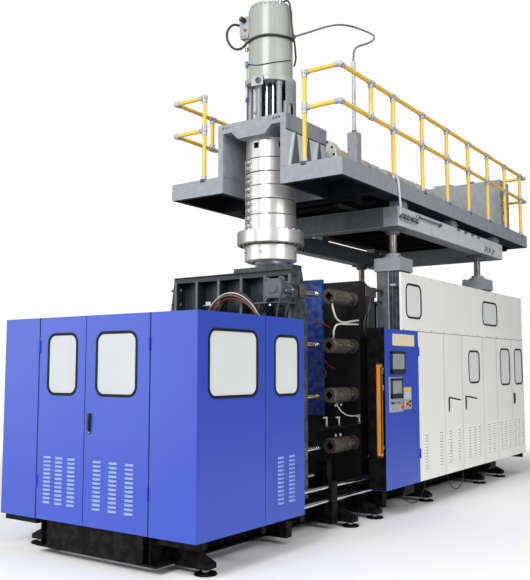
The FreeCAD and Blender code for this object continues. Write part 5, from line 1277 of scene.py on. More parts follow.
# near face: a pale skin as painted light and a dark plate on the door-end face as painted shade, then pipe
# clamps, a guide rod, hooks and the round ends of the cross tubes
lift.block("light grey paint and painted light", (3.72, 7.43), (0.0575, 0.06), (3.33, 3.555), 0.001)
lift.block("dark grey paint and painted shade", (3.714, 3.717), (0.25, 2.12), (3.33, 3.555), 0.001)
for x in (3.77, 3.86, 3.95, 4.1, 4.2):
    lift.rod("dark fitting", (x, 0.058, 3.44), (x, 0.02, 3.44), 0.032, 28)
    lift.rod("bright steel", (x, 0.022, 3.44), (x, 0.012, 3.44), 0.016, 20)
lift.rod("pale fitting", (3.74, 0.035, 3.475), (4.24, 0.035, 3.475), 0.011, 16)
lift.rod("pale fitting", (3.76, 0.035, 3.405), (4.16, 0.035, 3.405), 0.009, 16)
lift.rod("chrome plate", (4.218, 0.035, 3.5), (4.967, 0.035, 3.5), 0.013)
for x in (4.25, 4.93):
    lift.block("dark fitting", (x - 0.02, x + 0.02), (0.018, 0.058), (3.48, 3.52), 0.003)
for x in (5.6, 5.86, 6.12, 6.37):
    lift.block("dark fitting", (x - 0.03, x + 0.03), (0.025, 0.058), (3.525, 3.55), 0.003)
for x in (6.62, 6.76, 6.93):
    lift.rod("pale fitting", (x, 0.058, 3.4), (x, 0.025, 3.4), 0.045, 32)
    lift.rod("dark fitting", (x, 0.027, 3.4), (x, 0.018, 3.4), 0.024, 24)
for x in (3.772, 7.3):
    for y in (0.6, 1.185, 1.77):
        lift.bolt("dark fitting", (x, y, 3.325), (0, 0, -1), 0.014)
lift.close()

COLUMN_AXES = (3.89, 6.72)
COLUMN_LINE = 0.21
CAP_LOW, CAP_TOP = 2.79, 2.95
CAP_HALF, CAP_SKIN = 0.17, 0.002
FLANGE_LOW, BEAM_LOW = 3.297, 3.325
# the screws rise with the lift, so their thread goes on down inside the columns
screws = Piece("lift_screws", "lift", "oiled_steel", ("jack_screws",))
PITCH = 0.0165
SCREW_BOTTOM = 2.5
THREAD_START = 2.74
for x in COLUMN_AXES:
    y, top = COLUMN_LINE, FLANGE_LOW
    rings = []
    count = int((top - 0.03 - THREAD_START) / PITCH) * 4
    rise = (top - 0.03 - THREAD_START) / count
    for i in range(count + 1):
        z = THREAD_START + rise * i
        phase = i % 4
        radius = (0.048, 0.048, 0.0405, 0.0405)[phase]
        rings.append([(x + radius * math.cos(2 * math.pi * k / 36),
            y + radius * math.sin(2 * math.pi * k / 36),
                    z + PITCH * k / 36 - PITCH / 2) for k in range(36)])
    screws.loops("greasy screw", rings, closed=False)
    screws.rod("greasy screw", (x, y, SCREW_BOTTOM), (x, y, THREAD_START + 0.002), 0.046, 36)
    screws.rod("browned steel", (x, y, top - 0.045), (x, y, top), 0.0485, 36)
    # flange under the lift beam
    screws.block("dark grey paint and painted shade", (x - 0.12, x + 0.12), (y - 0.12, y + 0.12), (FLANGE_LOW, BEAM_LOW), 0.003)
    screws.turned("dark grey paint and painted shade", [(3.25, 0.05), (3.25, 0.078), (FLANGE_LOW, 0.09)], (x, y, 0), sides=48)
    for dx in (-0.095, 0.095):
        for dy in (-0.095, 0.095):
            screws.bolt("burnt metal", (x + dx, y + dy, FLANGE_LOW), (0, 0, -1), 0.012)
screws.twin()
screws.close(40)

columns = Piece("column_details", "frame", "grey_steel")
for x in COLUMN_AXES:
    y = COLUMN_LINE
    # bolted collar on the column's cap, round the screw
    columns.turned("grey paint", [(CAP_TOP, 0.05), (CAP_TOP, 0.125), (2.972, 0.125), (2.974, 0.122),
        (2.974, 0.09),
            (3.01, 0.086),
            (3.014, 0.08), (3.014, 0.05)], (x, y, 0), sides=48)
    for k in range(8):
        angle = 2 * math.pi * (k + 0.5) / 8
        columns.bolt("burnt metal", (x + 0.106 * math.cos(angle), y + 0.106 * math.sin(angle), 2.974), UP,
            0.011)
    for dx in (-0.14, 0.14):
        for dy in (-0.14, 0.14):
            columns.bolt("dark fitting", (x + dx, y + dy, CAP_TOP), UP, 0.013)
            columns.bolt("dark fitting", (x + dx, y + dy, CAP_LOW), (0, 0, -1), 0.012)
    columns.block("dark grey paint and painted shade", (x - 0.1, x + 0.1), (y - 0.154, y - 0.15), (2.2, 2.7), 0.001)
    inner, outer, plate = CAP_HALF, CAP_HALF + CAP_SKIN, (CAP_LOW + CAP_SKIN, CAP_TOP - CAP_SKIN)
    for form in (
        ((x - outer, x + outer), (y - outer, y - inner), plate, 0.001),
        ((x - outer, x + outer), (y + inner, y + outer), plate, 0.001),
        ((x - outer, x - inner), (y - inner, y + inner), plate, 0.0006),
        ((x + inner, x + outer), (y - inner, y + inner), plate, 0.0006),
    ):
        columns.block("grey paint", *form)
    for dx in (-0.08, 0.08):
        for z in (2.22, 2.45, 2.68):
            columns.cap_screw("dark fitting", (x + dx, y - 0.154, z), (0, -1, 0), 0.006, 0.003)
columns.twin()
# the first column's face towards the door end: a pale edge down its middle and a dark cable cover beside it
columns.block("light grey paint and painted light", (3.732, 3.74), (0.2, 0.208), (0.5, CAP_LOW), 0.002)
columns.block("platen paint", (3.737, 3.74), (0.066, 0.2), (0.5, CAP_LOW), 0.001)
for y in (0.1, 0.145):
    columns.block("dark grey paint and painted shade", (3.733, 3.737), (y, y + 0.012), (0.5, CAP_LOW), 0.001)
columns.close()

# ---------------- platform underside
DECK_LOW = 3.65
under = Piece("deck_underside", "platform", "black_steel")
# beams under the deck in near-black: painted shade
for x in (3.3, 3.62, 4.3, 4.75, 5.2, 5.9, 6.35, 6.8, 7.55, 8.0, 8.4):
    under.block("underside", (x, x + 0.012), (0.3, 2.07), (DECK_LOW - 0.05, DECK_LOW), 0.002)
for y in (0.45, 1.9):
    under.block("underside", (3.26, 8.5), (y, y + 0.012), (DECK_LOW - 0.055, DECK_LOW), 0.002)
under.rod("hose black", (3.3, 0.62, DECK_LOW - 0.075), (8.3, 0.62, DECK_LOW - 0.075), 0.018)
under.rod("hose black", (3.3, 0.68, DECK_LOW - 0.075), (7.9, 0.68, DECK_LOW - 0.075), 0.014)
for x in (3.7, 4.8, 5.9, 7.0):
    under.block("underside", (x, x + 0.03), (0.57, 0.73), (DECK_LOW - 0.055, DECK_LOW - 0.05), 0.001)
under.close()

# outer faces and top of the deck in grey paint, with a dark strip under each post
fascia = Piece("deck_fascia", "platform", "grey_steel")
DECK_EDGE = {"low": 3.651, "high": 3.844, "near": 0.01, "start": 2.31, "notch": 3.24, "end": 8.55,
    "arm": 0.785,
    "skin": 0.003}
low_high = (DECK_EDGE["low"], DECK_EDGE["high"])
skin = DECK_EDGE["skin"]
for place in (STRAIGHT, FAR_SIDE):
    for form in (
        ((DECK_EDGE["start"] - skin, DECK_EDGE["end"] + skin), (DECK_EDGE["near"] - skin, DECK_EDGE["near"]),
            low_high, 0.001),
        ((DECK_EDGE["start"] - skin, DECK_EDGE["start"]), (DECK_EDGE["near"], DECK_EDGE["arm"]), low_high,
            0.001),
        ((DECK_EDGE["end"], DECK_EDGE["end"] + skin), (DECK_EDGE["near"], HALF_WIDTH), low_high, 0.001),
        ((DECK_EDGE["start"], DECK_EDGE["notch"]), (DECK_EDGE["arm"], DECK_EDGE["arm"] + skin), low_high,
            0.001),
        ((DECK_EDGE["notch"] - skin, DECK_EDGE["notch"]), (DECK_EDGE["arm"] + skin, HALF_WIDTH), low_high,
            0.001),
        ((DECK_EDGE["start"], DECK_EDGE["notch"]), (DECK_EDGE["near"], DECK_EDGE["arm"]),
            (DECK, DECK + 0.0015), 0.0),
        ((DECK_EDGE["notch"], DECK_EDGE["end"]), (DECK_EDGE["near"], HALF_WIDTH), (DECK, DECK + 0.0015), 0.0),
    ):
        fascia.block("grey paint", *form, place)
    fascia.block("dark gap and painted shade", (2.3062, 2.3072), (ARM_POST - 0.035, ARM_POST + 0.035), (3.818, 3.834), 0.0,
        place)
    for x in POSTS:
        fascia.block("dark gap and painted shade", (x - 0.035, x + 0.035), (0.0062, 0.0072), (3.818, 3.834), 0.0, place)
fascia.close()

# ---------------- clamp
RIBS = (0.418, 0.725, 1.032, 1.338, 1.645, 1.952)
LOCK_Y, LOCK_Z = 0.43, (2.43, 1.89, 1.35, 0.81)
front = Piece("front_platen_details", "front_clamp", "platen_iron")
front.block("platen paint", (1.9, 2.14), (0.405, 1.965), (2.64, 2.646), 0.002)
front.block("platen paint", (1.96, 2.14), (0.405, 1.155), (2.646, 2.7), 0.004)
for y in RIBS:
    front.block("dark grey paint and painted shade", (1.926, 1.932), (y - 0.016, y + 0.016), (1.56, 2.6), 0.002)
    front.block("dark grey paint and painted shade", (1.926, 1.932), (y - 0.016, y + 0.016), (0.5, 1.44), 0.002)
front.block("dark grey paint and painted shade", (1.921, 1.93), (0.37, 2.0), (1.47, 1.53), 0.003)
# actuator: ears with holes on its end plate, tie bars, a fitting, its guide rod, a shelf and a brace
PLATE_X, PLATE_Y, PLATE_Z = 1.655, 0.43, 2.43
for dy in (-1, 1):
    for dz in (-1, 1):
        y, z = PLATE_Y + 0.088 * dy, PLATE_Z + 0.088 * dz
        front.rod("dark grey paint and painted shade", (PLATE_X - 0.004, y, z), (PLATE_X + 0.04, y, z), 0.026, 28)
        front.rod("dark gap and painted shade", (PLATE_X - 0.006, y, z), (PLATE_X + 0.001, y, z), 0.01, 20)
        front.rod("dark fitting", (PLATE_X + 0.04, PLATE_Y + 0.066 * dy, PLATE_Z + 0.066 * dz),
            (1.93, PLATE_Y + 0.066 * dy, PLATE_Z + 0.066 * dz), 0.01, 16)
front.rod("dark grey paint and painted shade", (PLATE_X - 0.012, PLATE_Y, PLATE_Z), (PLATE_X, PLATE_Y, PLATE_Z), 0.05, 36)
for x in (1.74, 1.88):
    front.rod("bright steel", (x, 0.38, PLATE_Z - 0.01), (x, 0.335, PLATE_Z - 0.01), 0.014, 20)
    front.bolt("pale fitting", (x, 0.345, PLATE_Z - 0.01), (0, -1, 0), 0.016, 0.012)
front.rod("chrome plate", (1.7, 0.5, 2.27), (1.94, 0.5, 2.27), 0.011)
front.block("dark grey paint and painted shade", (1.72, 1.93), (0.345, 0.72), (2.29, 2.302), 0.002)
front.prism("dark grey paint and painted shade", [(1.93, 0.71, 2.3), (1.93, 0.722, 2.3), (1.93, 0.8, 2.12),
    (1.93, 0.788, 2.12)],
    (-0.1, 0, 0), 0.002)
for y in (0.57, 0.88, 1.185, 1.49, 1.8):
    for z in (0.7, 1.15, 1.75, 2.2):
        front.cap_screw("burnt metal", (2.07, y, z), (-1, 0, 0), 0.022, 0.016)
for y in (0.37, 0.5, 1.87, 2.0):
    for z in (2.35, 2.51, 1.97, 1.81):
        front.bolt("burnt metal", (1.93, y, z), (-1, 0, 0), 0.013)
for z in LOCK_Z[1:]:
    front.turned("browned steel", [(0, 0), (0, 0.072), (0.016, 0.072), (0.02, 0.066), (0.02, 0.03),
        (0.028, 0.028),
            (0.028, 0)],
        (1.93, LOCK_Y, z), (-1, 0, 0), 40)
    front.bolt("burnt metal", (1.902, LOCK_Y, z), (-1, 0, 0), 0.02)
    front.turned("browned steel", [(0, 0), (0, 0.072), (0.016, 0.072), (0.02, 0.066), (0.02, 0.03),
        (0.028, 0.028),
            (0.028, 0)],
        (1.93, WIDTH - LOCK_Y, z), (-1, 0, 0), 40)
    front.bolt("burnt metal", (1.902, WIDTH - LOCK_Y, z), (-1, 0, 0), 0.02)
# edge of the operator side: dark seat plates round the rods and a square bracket at the far end of the top
for z in LOCK_Z:
    front.block("browned steel", (2.0, 2.12), (0.335, 0.345), (z - 0.07, z + 0.07), 0.002)
    for dz in (-0.05, 0.05):
        front.cap_screw("burnt metal", (2.03, 0.335, z + dz), (0, -1, 0), 0.009, 0.006)
        front.cap_screw("burnt metal", (2.09, 0.335, z + dz), (0, -1, 0), 0.009, 0.006)
front.block("pale fitting", (1.88, 1.93), (1.44, 1.51), (2.315, 2.321), 0.001)
front.block("pale fitting", (1.924, 1.93), (1.44, 1.51), (2.315, 2.362), 0.001)
front.close()

plates = Piece("front_plate_details", "front_clamp", "blue_steel")
for y in (0.87, 1.0, 1.185, 1.37, 1.5):
    for z in (1.16, 1.5, 2.28, 2.62):
        plates.cap_screw("burnt metal", (2.18, y, z), (1, 0, 0), 0.014, 0.006)
plates.block("rough rust", (2.143, 2.178), (0.82, 1.55), (2.68, 2.684), 0.001)
plates.close()
plates = Piece("rear_plate_details", "rear_clamp", "blue_steel")
for y in (0.87, 1.0, 1.185, 1.37, 1.5):
    for z in (1.16, 1.5, 2.28, 2.62):
        plates.cap_screw("burnt metal", (3.22, y, z), (-1, 0, 0), 0.014, 0.006)
plates.block("rough rust", (3.222, 3.257), (0.82, 1.55), (2.68, 2.684), 0.001)
plates.block("rough rust", (3.3, 3.4), (0.4, 1.97), (2.64, 2.644), 0.001)
plates.turned("dark gap and painted shade", [(0, 0.0), (0, 0.03)], (3.24, 0.8095, 2.35), (0, -1, 0), 24)
plates.close()

# lock rods: a keyed thick end, and grooves in the thin one
rods = Piece("lock_rod_bars", "front_clamp", "chrome_rod", ("lock_rods",))
for z in LOCK_Z:
    rods.turned("browned steel", [(2.14, 0), (2.14, 0.06), (2.15, 0.064), (2.168, 0.064), (2.172, 0.05),
            (2.172, 0.036)],
        (0, LOCK_Y, z), (1, 0, 0), 40)
    rods.turned("chrome plate", [(2.14, 0), (2.14, 0.036), (2.352, 0.036), (2.355, 0.033), (2.355, 0.029),
            (2.4, 0.029),
            (2.402, 0.0245),
            (2.418, 0.0245), (2.42, 0.029), (2.436, 0.029), (2.438, 0.0245), (2.454, 0.0245),
            (2.456, 0.029),
            (2.481, 0.029), (2.485, 0.025), (2.485, 0)], (0, LOCK_Y, z), (1, 0, 0), 40)
rods.twin()
rods.close(30)

SOCKET_MOUTH = 2.72
SOCKET_HALF = 0.044
locks = Piece("lock_cylinder_group", "rear_clamp", "oiled_steel", ("lock_cylinders",))
for z in LOCK_Z:
    y = LOCK_Y
    locks.turned("browned steel", [(SOCKET_MOUTH, 0.06), (SOCKET_MOUTH, 0.078), (2.724, 0.082), (2.75, 0.082),
            (2.752, 0.079), (2.756, 0.079), (2.758, 0.082),
            (3.04, 0.082), (3.042, 0.079), (3.046, 0.079), (3.048, 0.082), (3.085, 0.082),
            (3.12, 0.046), (3.26, 0.046)],
        (0, y, z), (1, 0, 0), 48)
    locks.turned("burnt metal", [(3.225, 0.046), (3.225, 0.08), (3.228, 0.083), (3.256, 0.083), (3.26, 0.08),
            (3.26, 0.046)],
        (0, y, z), (1, 0, 0), 40)
    for k in range(8):
        angle = 2 * math.pi * (k + 0.5) / 8
        locks.cap_screw("burnt metal", (SOCKET_MOUTH, y + 0.07 * math.cos(angle), z + 0.07 * math.sin(angle)),
            (-1, 0, 0), 0.0065, 0.006)
    # square socket for the rod
    corner = SOCKET_HALF
    rings = [[(SOCKET_MOUTH, y + 0.065 * math.cos(math.pi / 4 + math.pi / 2 * k),
                z + 0.065 * math.sin(math.pi / 4 + math.pi / 2 * k))
            for k in range(4)], [(SOCKET_MOUTH, y + a, z + b) for a,
            b in ((corner, corner), (-corner, corner), (-corner, -corner), (corner, -corner))],
        [(3.07, y + a, z + b) for a, b in ((corner, corner), (-corner, corner), (-corner, -corner),
                (corner, -corner))]]
    locks.loops("dark gap and painted shade", rings[1:], closed=False)
    part = bmesh.new()
    part.faces.new([part.verts.new(p) for p in rings[2]])
    locks.absorb(part, "dark gap and painted shade")
    ring = [(SOCKET_MOUTH, y + 0.0615 * math.cos(2 * math.pi * k / 32 + math.pi / 4),
            z + 0.0615 * math.sin(2 * math.pi * k / 32 + math.pi / 4)) for k in range(32)]
    square = []
    for k in range(32):
        t = 2 * math.pi * k / 32 + math.pi / 4
        reach = corner / max(abs(math.cos(t)), abs(math.sin(t)))
        square.append((SOCKET_MOUTH, y + reach * math.cos(t), z + reach * math.sin(t)))
    locks.loops("browned steel", [ring, square], closed=False)
    lobed = []
    for k in range(32):
        t = 2 * math.pi * k / 32 + math.pi / 4
        reach = 0.039 + 0.006 * math.cos(4 * t)
        lobed.append((2.7185, y + reach * math.cos(t), z + reach * math.sin(t)))
    locks.loops("browned steel", [[(2.7185, b, c) for _, b, c in ring], lobed,
            [(2.724, b, c) for _, b, c in lobed]], closed=False)
    # small fittings on the operator side, and brass on the neck
    for x in (2.82, 3.0):
        locks.rod("browned steel", (x, y - 0.075, z), (x, y - 0.096, z), 0.016)
        locks.bolt("dark fitting", (x, y - 0.094, z), (0, -1, 0), 0.012, 0.008)
    locks.rod("brass parts", (3.15, y - 0.04, z), (3.15, y - 0.06, z), 0.012)
    locks.turned("chrome plate", [(3.13, 0.044), (3.13, 0.05), (3.16, 0.05), (3.16, 0.044)], (0, y, z),
        (1, 0, 0), 36)
locks.twin()
locks.close(32)

guides = Piece("guide_bars", "frame", "chrome_rod", ("guide_rods",))
for z in (0.29, 0.43):
    guides.turned("chrome plate", [(1.672, 0), (1.672, 0.024), (1.674, 0.026), (3.568, 0.026), (3.57, 0.024),
            (3.57, 0)],
        (0, 0.285, z), (1, 0, 0), 40)
guides.twin()
guides.close()

ways = Piece("guide_block_details", "frame", "black_steel")
for x in (1.58, 2.44, 3.56):
    for dx in (0.025, 0.075):
        ways.cap_screw("burnt metal", (x + dx, 0.24, 0.36), (0, -1, 0), 0.009, 0.005)
ways.close()

# ---------------- clamp bay and loose hoses
bay = Piece("clamp_bay_bars", "rear_clamp", "black_steel")
bay.rod("black paint", (2.3, 0.31, 1.02), (3.27, 0.31, 1.02), 0.016)
bay.block("black paint", (3.24, 3.262), (0.295, 0.36), (0.98, 1.06), 0.003)
for x, z in ((2.46, 1.13), (2.72, 1.12), (3.17, 1.11)):
    bay.rod("pale fitting", (x - 0.06, 0.31, z), (x, 0.31, z), 0.009, 16)
    bay.ball("pale fitting", (x, 0.31, z), 0.0105)
    bay.rod("pale fitting", (x, 0.31, z), (x, 0.31, 1.03), 0.009, 16)
    bay.rod("dark fitting", (x, 0.31, 1.03), (x, 0.31, 1.055), 0.014, 16)
for x, z in ((2.8, 0.905), (2.9, 0.905), (2.8, 1.258), (2.92, 1.258)):
    bay.rod("pale fitting", (x, 0.4, z), (x, 0.4, z - 0.03 if z > 1 else z + 0.03), 0.011, 16)
bay.close()
way = Piece("clamp_way_details", "frame", "black_steel")
way.block("black paint", (2.45, 2.54), (0.3, 0.44), (0.45, 0.69), 0.006)
way.rod("chrome plate", (2.054, 0.36, 0.56), (2.257, 0.36, 0.56), 0.02)
way.rod("hose pale", (3.34, 0.29, 0.66), (3.47, 0.29, 0.58), 0.008, 16)
way.block("pale fitting", (3.63, 3.738), (0.075, 0.13), (2.6, 2.625), 0.003)
way.rod("brass parts", (3.6, 0.3, 2.57), (3.738, 0.3, 2.57), 0.014, 20)
way.close()

# name, body, finish, radius, length and the points that the hose or wire follows
LOOSE_HOSES = (
    ("ring_hose", "platform", "hose black", 0.014, 1.495, (
            (2.841, 0.969, 5.5), (2.838, 0.947, 5.497), (2.786, 0.919, 5.485), (2.7, 0.905, 5.472),
            (2.614, 0.919, 5.463), (2.536, 0.959, 5.463), (2.474, 1.021, 5.465), (2.434, 1.099, 5.465),
            (2.421, 1.185, 5.46), (2.434, 1.271, 5.456), (2.468, 1.341, 5.45), (2.497, 1.41, 5.44),
            (2.512, 1.47, 5.415), (2.497, 1.54, 5.412), (2.47, 1.6, 5.455), (2.452, 1.645, 5.545),
            (2.461, 1.66, 5.652), (2.503, 1.626, 5.735), (2.55, 1.58, 5.76), (2.6, 1.53, 5.73),
    )),
    ("shoulder_hose", "platform", "hose black", 0.011, 0.881, (
            (2.66, 1.01, 5.898), (2.662, 0.95, 5.93), (2.668, 0.895, 5.9), (2.68, 0.886, 5.8),
            (2.692, 0.884, 5.66), (2.7, 0.868, 5.5), (2.74, 0.868, 5.4), (2.79, 0.893, 5.32),
            (2.815, 0.9, 5.24),
            (2.815, 0.93, 5.17),
    )),
    ("thin_cable", "platform", "hose black", 0.005, 0.744, (
            (2.542, 1.394, 5.224), (2.505, 1.373, 5.205), (2.461, 1.312, 5.168), (2.434, 1.232, 5.135),
            (2.432, 1.147, 5.117), (2.457, 1.066, 5.124), (2.505, 0.997, 5.14), (2.573, 0.946, 5.16),
            (2.644, 0.92, 5.184), (2.7, 0.915, 5.204), (2.741, 0.926, 5.221),
    )),
    ("deck_edge_hose", "platform", "hose pale", 0.014, 0.559, (
            (3.556, 0.03, 3.93), (3.575, -0.006, 3.9), (3.6, -0.011, 3.82), (3.616, -0.011, 3.72),
            (3.645, -0.009, 3.6), (3.675, 0, 3.5), (3.7, 0.02, 3.45), (3.722, 0.058, 3.44),
    )),
    ("bundle_brown", "front_clamp", "hose brown", 0.011, 1.112, (
            (1.935, 1.345, 2.12), (1.868, 1.37, 2.155), (1.8, 1.375, 2.205), (1.8, 1.36, 2.263),
            (1.8, 1.3, 2.32),
            (1.8, 1.238, 2.365), (1.8, 1.16, 2.397), (1.8, 1.077, 2.404), (1.8, 0.99, 2.388),
            (1.8, 0.907, 2.349),
            (1.8, 0.83, 2.29), (1.8, 0.77, 2.228), (1.8, 0.74, 2.18), (1.868, 0.73, 2.14),
            (1.935, 0.728, 2.1),
    )),
    ("bundle_red", "front_clamp", "wire red", 0.005, 1.046, (
            (1.935, 1.345, 2.12), (1.881, 1.37, 2.125), (1.826, 1.375, 2.175), (1.826, 1.36, 2.233),
            (1.826, 1.3, 2.29), (1.826, 1.238, 2.335), (1.826, 1.16, 2.367), (1.826, 1.077, 2.374),
            (1.826, 0.99, 2.358), (1.826, 0.907, 2.319), (1.826, 0.83, 2.26), (1.826, 0.77, 2.198),
            (1.826, 0.74, 2.15), (1.881, 0.73, 2.11), (1.935, 0.728, 2.1),
    )),
    ("bundle_white", "front_clamp", "hose pale", 0.007, 1.125, (
            (1.935, 1.345, 2.12), (1.875, 1.37, 2.183), (1.814, 1.375, 2.233), (1.814, 1.36, 2.291),
            (1.814, 1.3, 2.348), (1.814, 1.238, 2.393), (1.814, 1.16, 2.425), (1.814, 1.077, 2.432),
            (1.814, 0.99, 2.416), (1.814, 0.907, 2.377), (1.814, 0.83, 2.318), (1.814, 0.77, 2.256),
            (1.814, 0.74, 2.208), (1.875, 0.73, 2.168), (1.935, 0.728, 2.1),
    )),
    ("bundle_black", "front_clamp", "hose black", 0.011, 0.967, (
            (1.935, 1.345, 2.12), (1.917, 1.37, 2.143), (1.9, 1.375, 2.193), (1.9, 1.36, 2.251),
            (1.9, 1.3, 2.308),
            (1.9, 1.238, 2.353), (1.9, 1.16, 2.385), (1.9, 1.077, 2.392), (1.9, 0.99, 2.376),
            (1.9, 0.907, 2.337),
            (1.9, 0.83, 2.278), (1.9, 0.77, 2.216), (1.9, 0.74, 2.168), (1.917, 0.73, 2.128),
            (1.935, 0.728, 2.1),
    )),
    ("actuator_hose_1", "front_clamp", "hose black", 0.009, 0.955, (
            (1.74, 0.348, 2.425), (1.72, 0.305, 2.43), (1.66, 0.297, 2.42), (1.59, 0.297, 2.34),
            (1.53, 0.3, 2.2),
            (1.53, 0.305, 2.06), (1.6, 0.32, 1.96), (1.74, 0.36, 1.93), (1.93, 0.42, 1.94),
    )),
    ("actuator_hose_2", "front_clamp", "hose black", 0.009, 0.666, (
            (1.88, 0.348, 2.42), (1.86, 0.305, 2.41), (1.8, 0.295, 2.36), (1.72, 0.3, 2.26),
            (1.69, 0.31, 2.16),
            (1.72, 0.33, 2.08), (1.8, 0.36, 2.03), (1.93, 0.4, 2.02),
    )),
    ("white_hose_1", "rear_clamp", "hose pale", 0.011, 0.810, (
            (2.775, 0.415, 2.352), (2.69, 0.365, 2.318), (2.672, 0.335, 2.25), (2.695, 0.33, 2.195),
            (2.755, 0.33, 2.16), (2.84, 0.33, 2.142), (2.95, 0.33, 2.148), (3.065, 0.335, 2.166),
            (3.262, 0.36, 2.185),
    )),
    ("white_hose_2", "rear_clamp", "hose pale", 0.01, 0.794, (
            (2.78, 0.41, 1.968), (2.71, 0.362, 1.978), (2.66, 0.335, 2.04), (2.7, 0.33, 2.108),
            (2.79, 0.33, 2.124), (2.9, 0.33, 2.126), (3.064, 0.335, 2.132), (3.262, 0.36, 2.14),
    )),
    ("thin_white_hose", "rear_clamp", "hose pale", 0.006, 0.645, (
            (2.86, 0.42, 1.27), (2.78, 0.365, 1.24), (2.775, 0.335, 1.2), (2.84, 0.33, 1.16),
            (2.93, 0.33, 1.13),
            (3.03, 0.325, 1.117), (3.14, 0.33, 1.114), (3.262, 0.35, 1.12),
    )),
    ("red_wire_1", "rear_clamp", "wire red", 0.004, 0.225, (
            (3.24, 0.812, 1.76), (3.2, 0.78, 1.745), (3.19, 0.74, 1.7), (3.21, 0.7, 1.66),
            (3.262, 0.68, 1.64),
    )),
    ("red_wire_2", "rear_clamp", "wire red", 0.004, 0.293, (
            (3.24, 0.812, 1.66), (3.2, 0.78, 1.64), (3.18, 0.735, 1.6), (3.185, 0.755, 1.53),
            (3.2, 0.81, 1.51),
            (3.222, 0.86, 1.53),
    )),
    ("red_wire_3", "rear_clamp", "wire red", 0.004, 0.205, (
            (3.222, 0.88, 2.16), (3.2, 0.85, 2.185), (3.19, 0.8, 2.18), (3.21, 0.76, 2.14),
            (3.262, 0.74, 2.12),
    )),
    ("column_hose_1", "frame", "hose black", 0.012, 1.470, (
            (3.738, 0.28, 2.54), (3.6, 0.29, 2.56), (3.46, 0.3, 2.5), (3.405, 0.3, 2.3), (3.36, 0.3, 2.1),
            (3.43, 0.3, 1.9), (3.5, 0.3, 1.7), (3.53, 0.29, 1.5), (3.55, 0.25, 1.4), (3.56, 0.215, 1.36),
    )),
    ("column_hose_2", "frame", "hose black", 0.009, 0.964, (
            (3.738, 0.3, 2.42), (3.56, 0.305, 2.43), (3.38, 0.305, 2.32), (3.29, 0.305, 2.14), (3.33, 0.3, 2),
            (3.45, 0.285, 1.95), (3.53, 0.25, 1.93), (3.55, 0.215, 1.92),
    )),
    ("floor_cable_1", "frame", "hose black", 0.006, 1.049, (
            (3.767, 0.15, 0.315), (3.84, 0.15, 0.2), (3.99, 0.15, 0.09), (4.18, 0.15, 0.035),
            (4.37, 0.15, 0.045),
            (4.5, 0.15, 0.14), (4.56, 0.15, 0.25), (4.575, 0.15, 0.315),
    )),
    ("floor_cable_2", "frame", "hose black", 0.006, 0.894, (
            (5.25, 0.15, 0.315), (5.27, 0.15, 0.2), (5.36, 0.15, 0.1), (5.5, 0.15, 0.04), (5.64, 0.15, 0.035),
            (5.76, 0.15, 0.09), (5.81, 0.15, 0.2), (5.82, 0.15, 0.315),
    )),
)
for name, body, look, radius, length, points in LOOSE_HOSES:
    hose(name, points, radius, body, look)

# ---------------- floor, light and world
def floor_material(clear_from, clear_to):
    """A pale matt floor that fades to nothing far from the machine, where the white world takes over."""
    material = bpy.data.materials.new("studio_floor")
    material.use_nodes = True
    tree = material.node_tree
    surface = tree.nodes["Principled BSDF"]
    surface.inputs["Base Color"].default_value = (0.93, 0.93, 0.93, 1.0)
    surface.inputs["Roughness"].default_value = 0.9
    surface.inputs["Specular IOR Level"].default_value = 0.1
    where = tree.nodes.new("ShaderNodeTexCoord")
    length = tree.nodes.new("ShaderNodeVectorMath")
    length.operation = "LENGTH"
    fade = tree.nodes.new("ShaderNodeMapRange")
    fade.interpolation_type = "SMOOTHSTEP"
    for socket, value in (("From Min", clear_from), ("From Max", clear_to), ("To Min", 1.0), ("To Max", 0.0)):
        fade.inputs[socket].default_value = value
    tree.links.new(where.outputs["Object"], length.inputs[0])
    tree.links.new(length.outputs["Value"], fade.inputs["Value"])
    tree.links.new(fade.outputs["Result"], surface.inputs["Alpha"])
    return material


FLOOR_RADIUS, FLOOR_FADE = 16.0, (4.6, 9.0)
floor_mesh = bpy.data.meshes.new("studio_floor")
disc = bmesh.new()
bmesh.ops.create_circle(disc, cap_ends=True, cap_tris=True, segments=96, radius=FLOOR_RADIUS)
disc.to_mesh(floor_mesh)
disc.free()
floor_mesh.materials.append(floor_material(*FLOOR_FADE))
floor = bpy.data.objects.new("studio_floor", floor_mesh)
bpy.context.scene.collection.objects.link(floor)


def soft_light(name, place, target, size, watts, tint=(1.0, 1.0, 1.0)):
    """A square area light that faces a target; it isn't seen by the camera."""
    data = bpy.data.lights.new(name, "AREA")
    data.shape = "SQUARE"
    data.size = size
    data.energy = watts
    data.color = tint
    light = bpy.data.objects.new(name, data)
    light.location = place
    light.rotation_euler = (Vector(target) - Vector(place)).to_track_quat("-Z", "Y").to_euler()
    light.visible_camera = False
    bpy.context.scene.collection.objects.link(light)


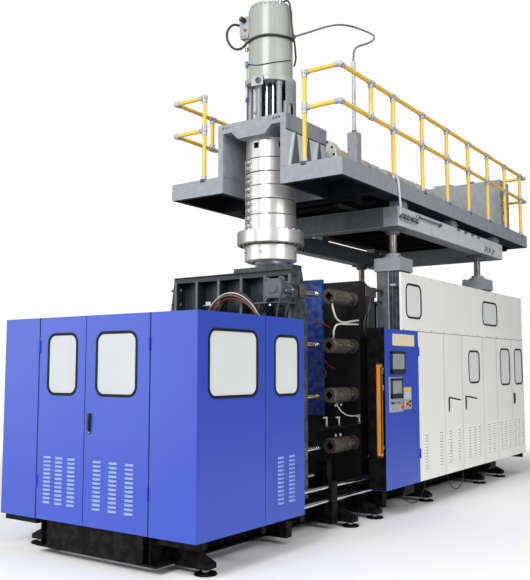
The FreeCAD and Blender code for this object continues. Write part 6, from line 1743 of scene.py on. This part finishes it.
MIDDLE = (0.0, 0.0, 2.4)
SKY = (0.12, 0.85, 0.55)      # darkest, brightest, and the share that lights matt surfaces
soft_light("key", (-14.0, -2.0, 9.0), MIDDLE, 6.0, 1250.0)
soft_light("sheen", (-12.0, 9.0, 3.5), MIDDLE, 8.0, 400.0)
soft_light("front", (-4.0, -13.0, 7.0), MIDDLE, 6.0, 640.0)
soft_light("top", (1.0, 0.0, 14.0), MIDDLE, 8.0, 450.0)

world = bpy.data.worlds.new("white_world")
bpy.context.scene.world = world
world.use_nodes = True
sky = world.node_tree


def sky_node(kind, inputs=(), **settings):
    node = sky.nodes.new(kind)
    for key, value in settings.items():
        setattr(node, key, value)
    for socket, value in inputs:
        if isinstance(value, bpy.types.NodeSocket):
            sky.links.new(value, node.inputs[socket])
        else:
            node.inputs[socket].default_value = value
    return node


# white for what sees it directly, and a soft sky that is brightest up and to the door end for the rest
rays = sky_node("ShaderNodeLightPath")
seen = sky_node("ShaderNodeMath", ((0, rays.outputs["Is Camera Ray"]),
    (1, rays.outputs["Is Transmission Ray"])),
    operation="MAXIMUM")
way = sky_node("ShaderNodeTexCoord")
side = sky_node("ShaderNodeVectorMath", ((0, way.outputs["Generated"]), (1, (-0.72, -0.2, 0.66))),
    operation="DOT_PRODUCT")
glow = sky_node("ShaderNodeMapRange", (("Value", side.outputs["Value"]), ("From Min", -0.7),
    ("From Max", 1.0),
        ("To Min", SKY[0]),
        ("To Max", SKY[1])), interpolation_type="SMOOTHSTEP")
matt = sky_node("ShaderNodeMath", ((0, rays.outputs["Is Diffuse Ray"]), (1, SKY[2] - 1.0)),
    operation="MULTIPLY")
share = sky_node("ShaderNodeMath", ((0, matt.outputs[0]), (1, 1.0)), operation="ADD")
glow = sky_node("ShaderNodeMath", ((0, glow.outputs["Result"]), (1, share.outputs[0])), operation="MULTIPLY")
level = sky_node("ShaderNodeMix", (("Factor", seen.outputs[0]), ("A", glow.outputs[0]), ("B", 1.0)))
sky.links.new(level.outputs["Result"], sky.nodes["Background"].inputs["Strength"])
sky.nodes["Background"].inputs["Color"].default_value = (1.0, 1.0, 1.0, 1.0)
bpy.context.scene.view_settings.view_transform = "Standard"
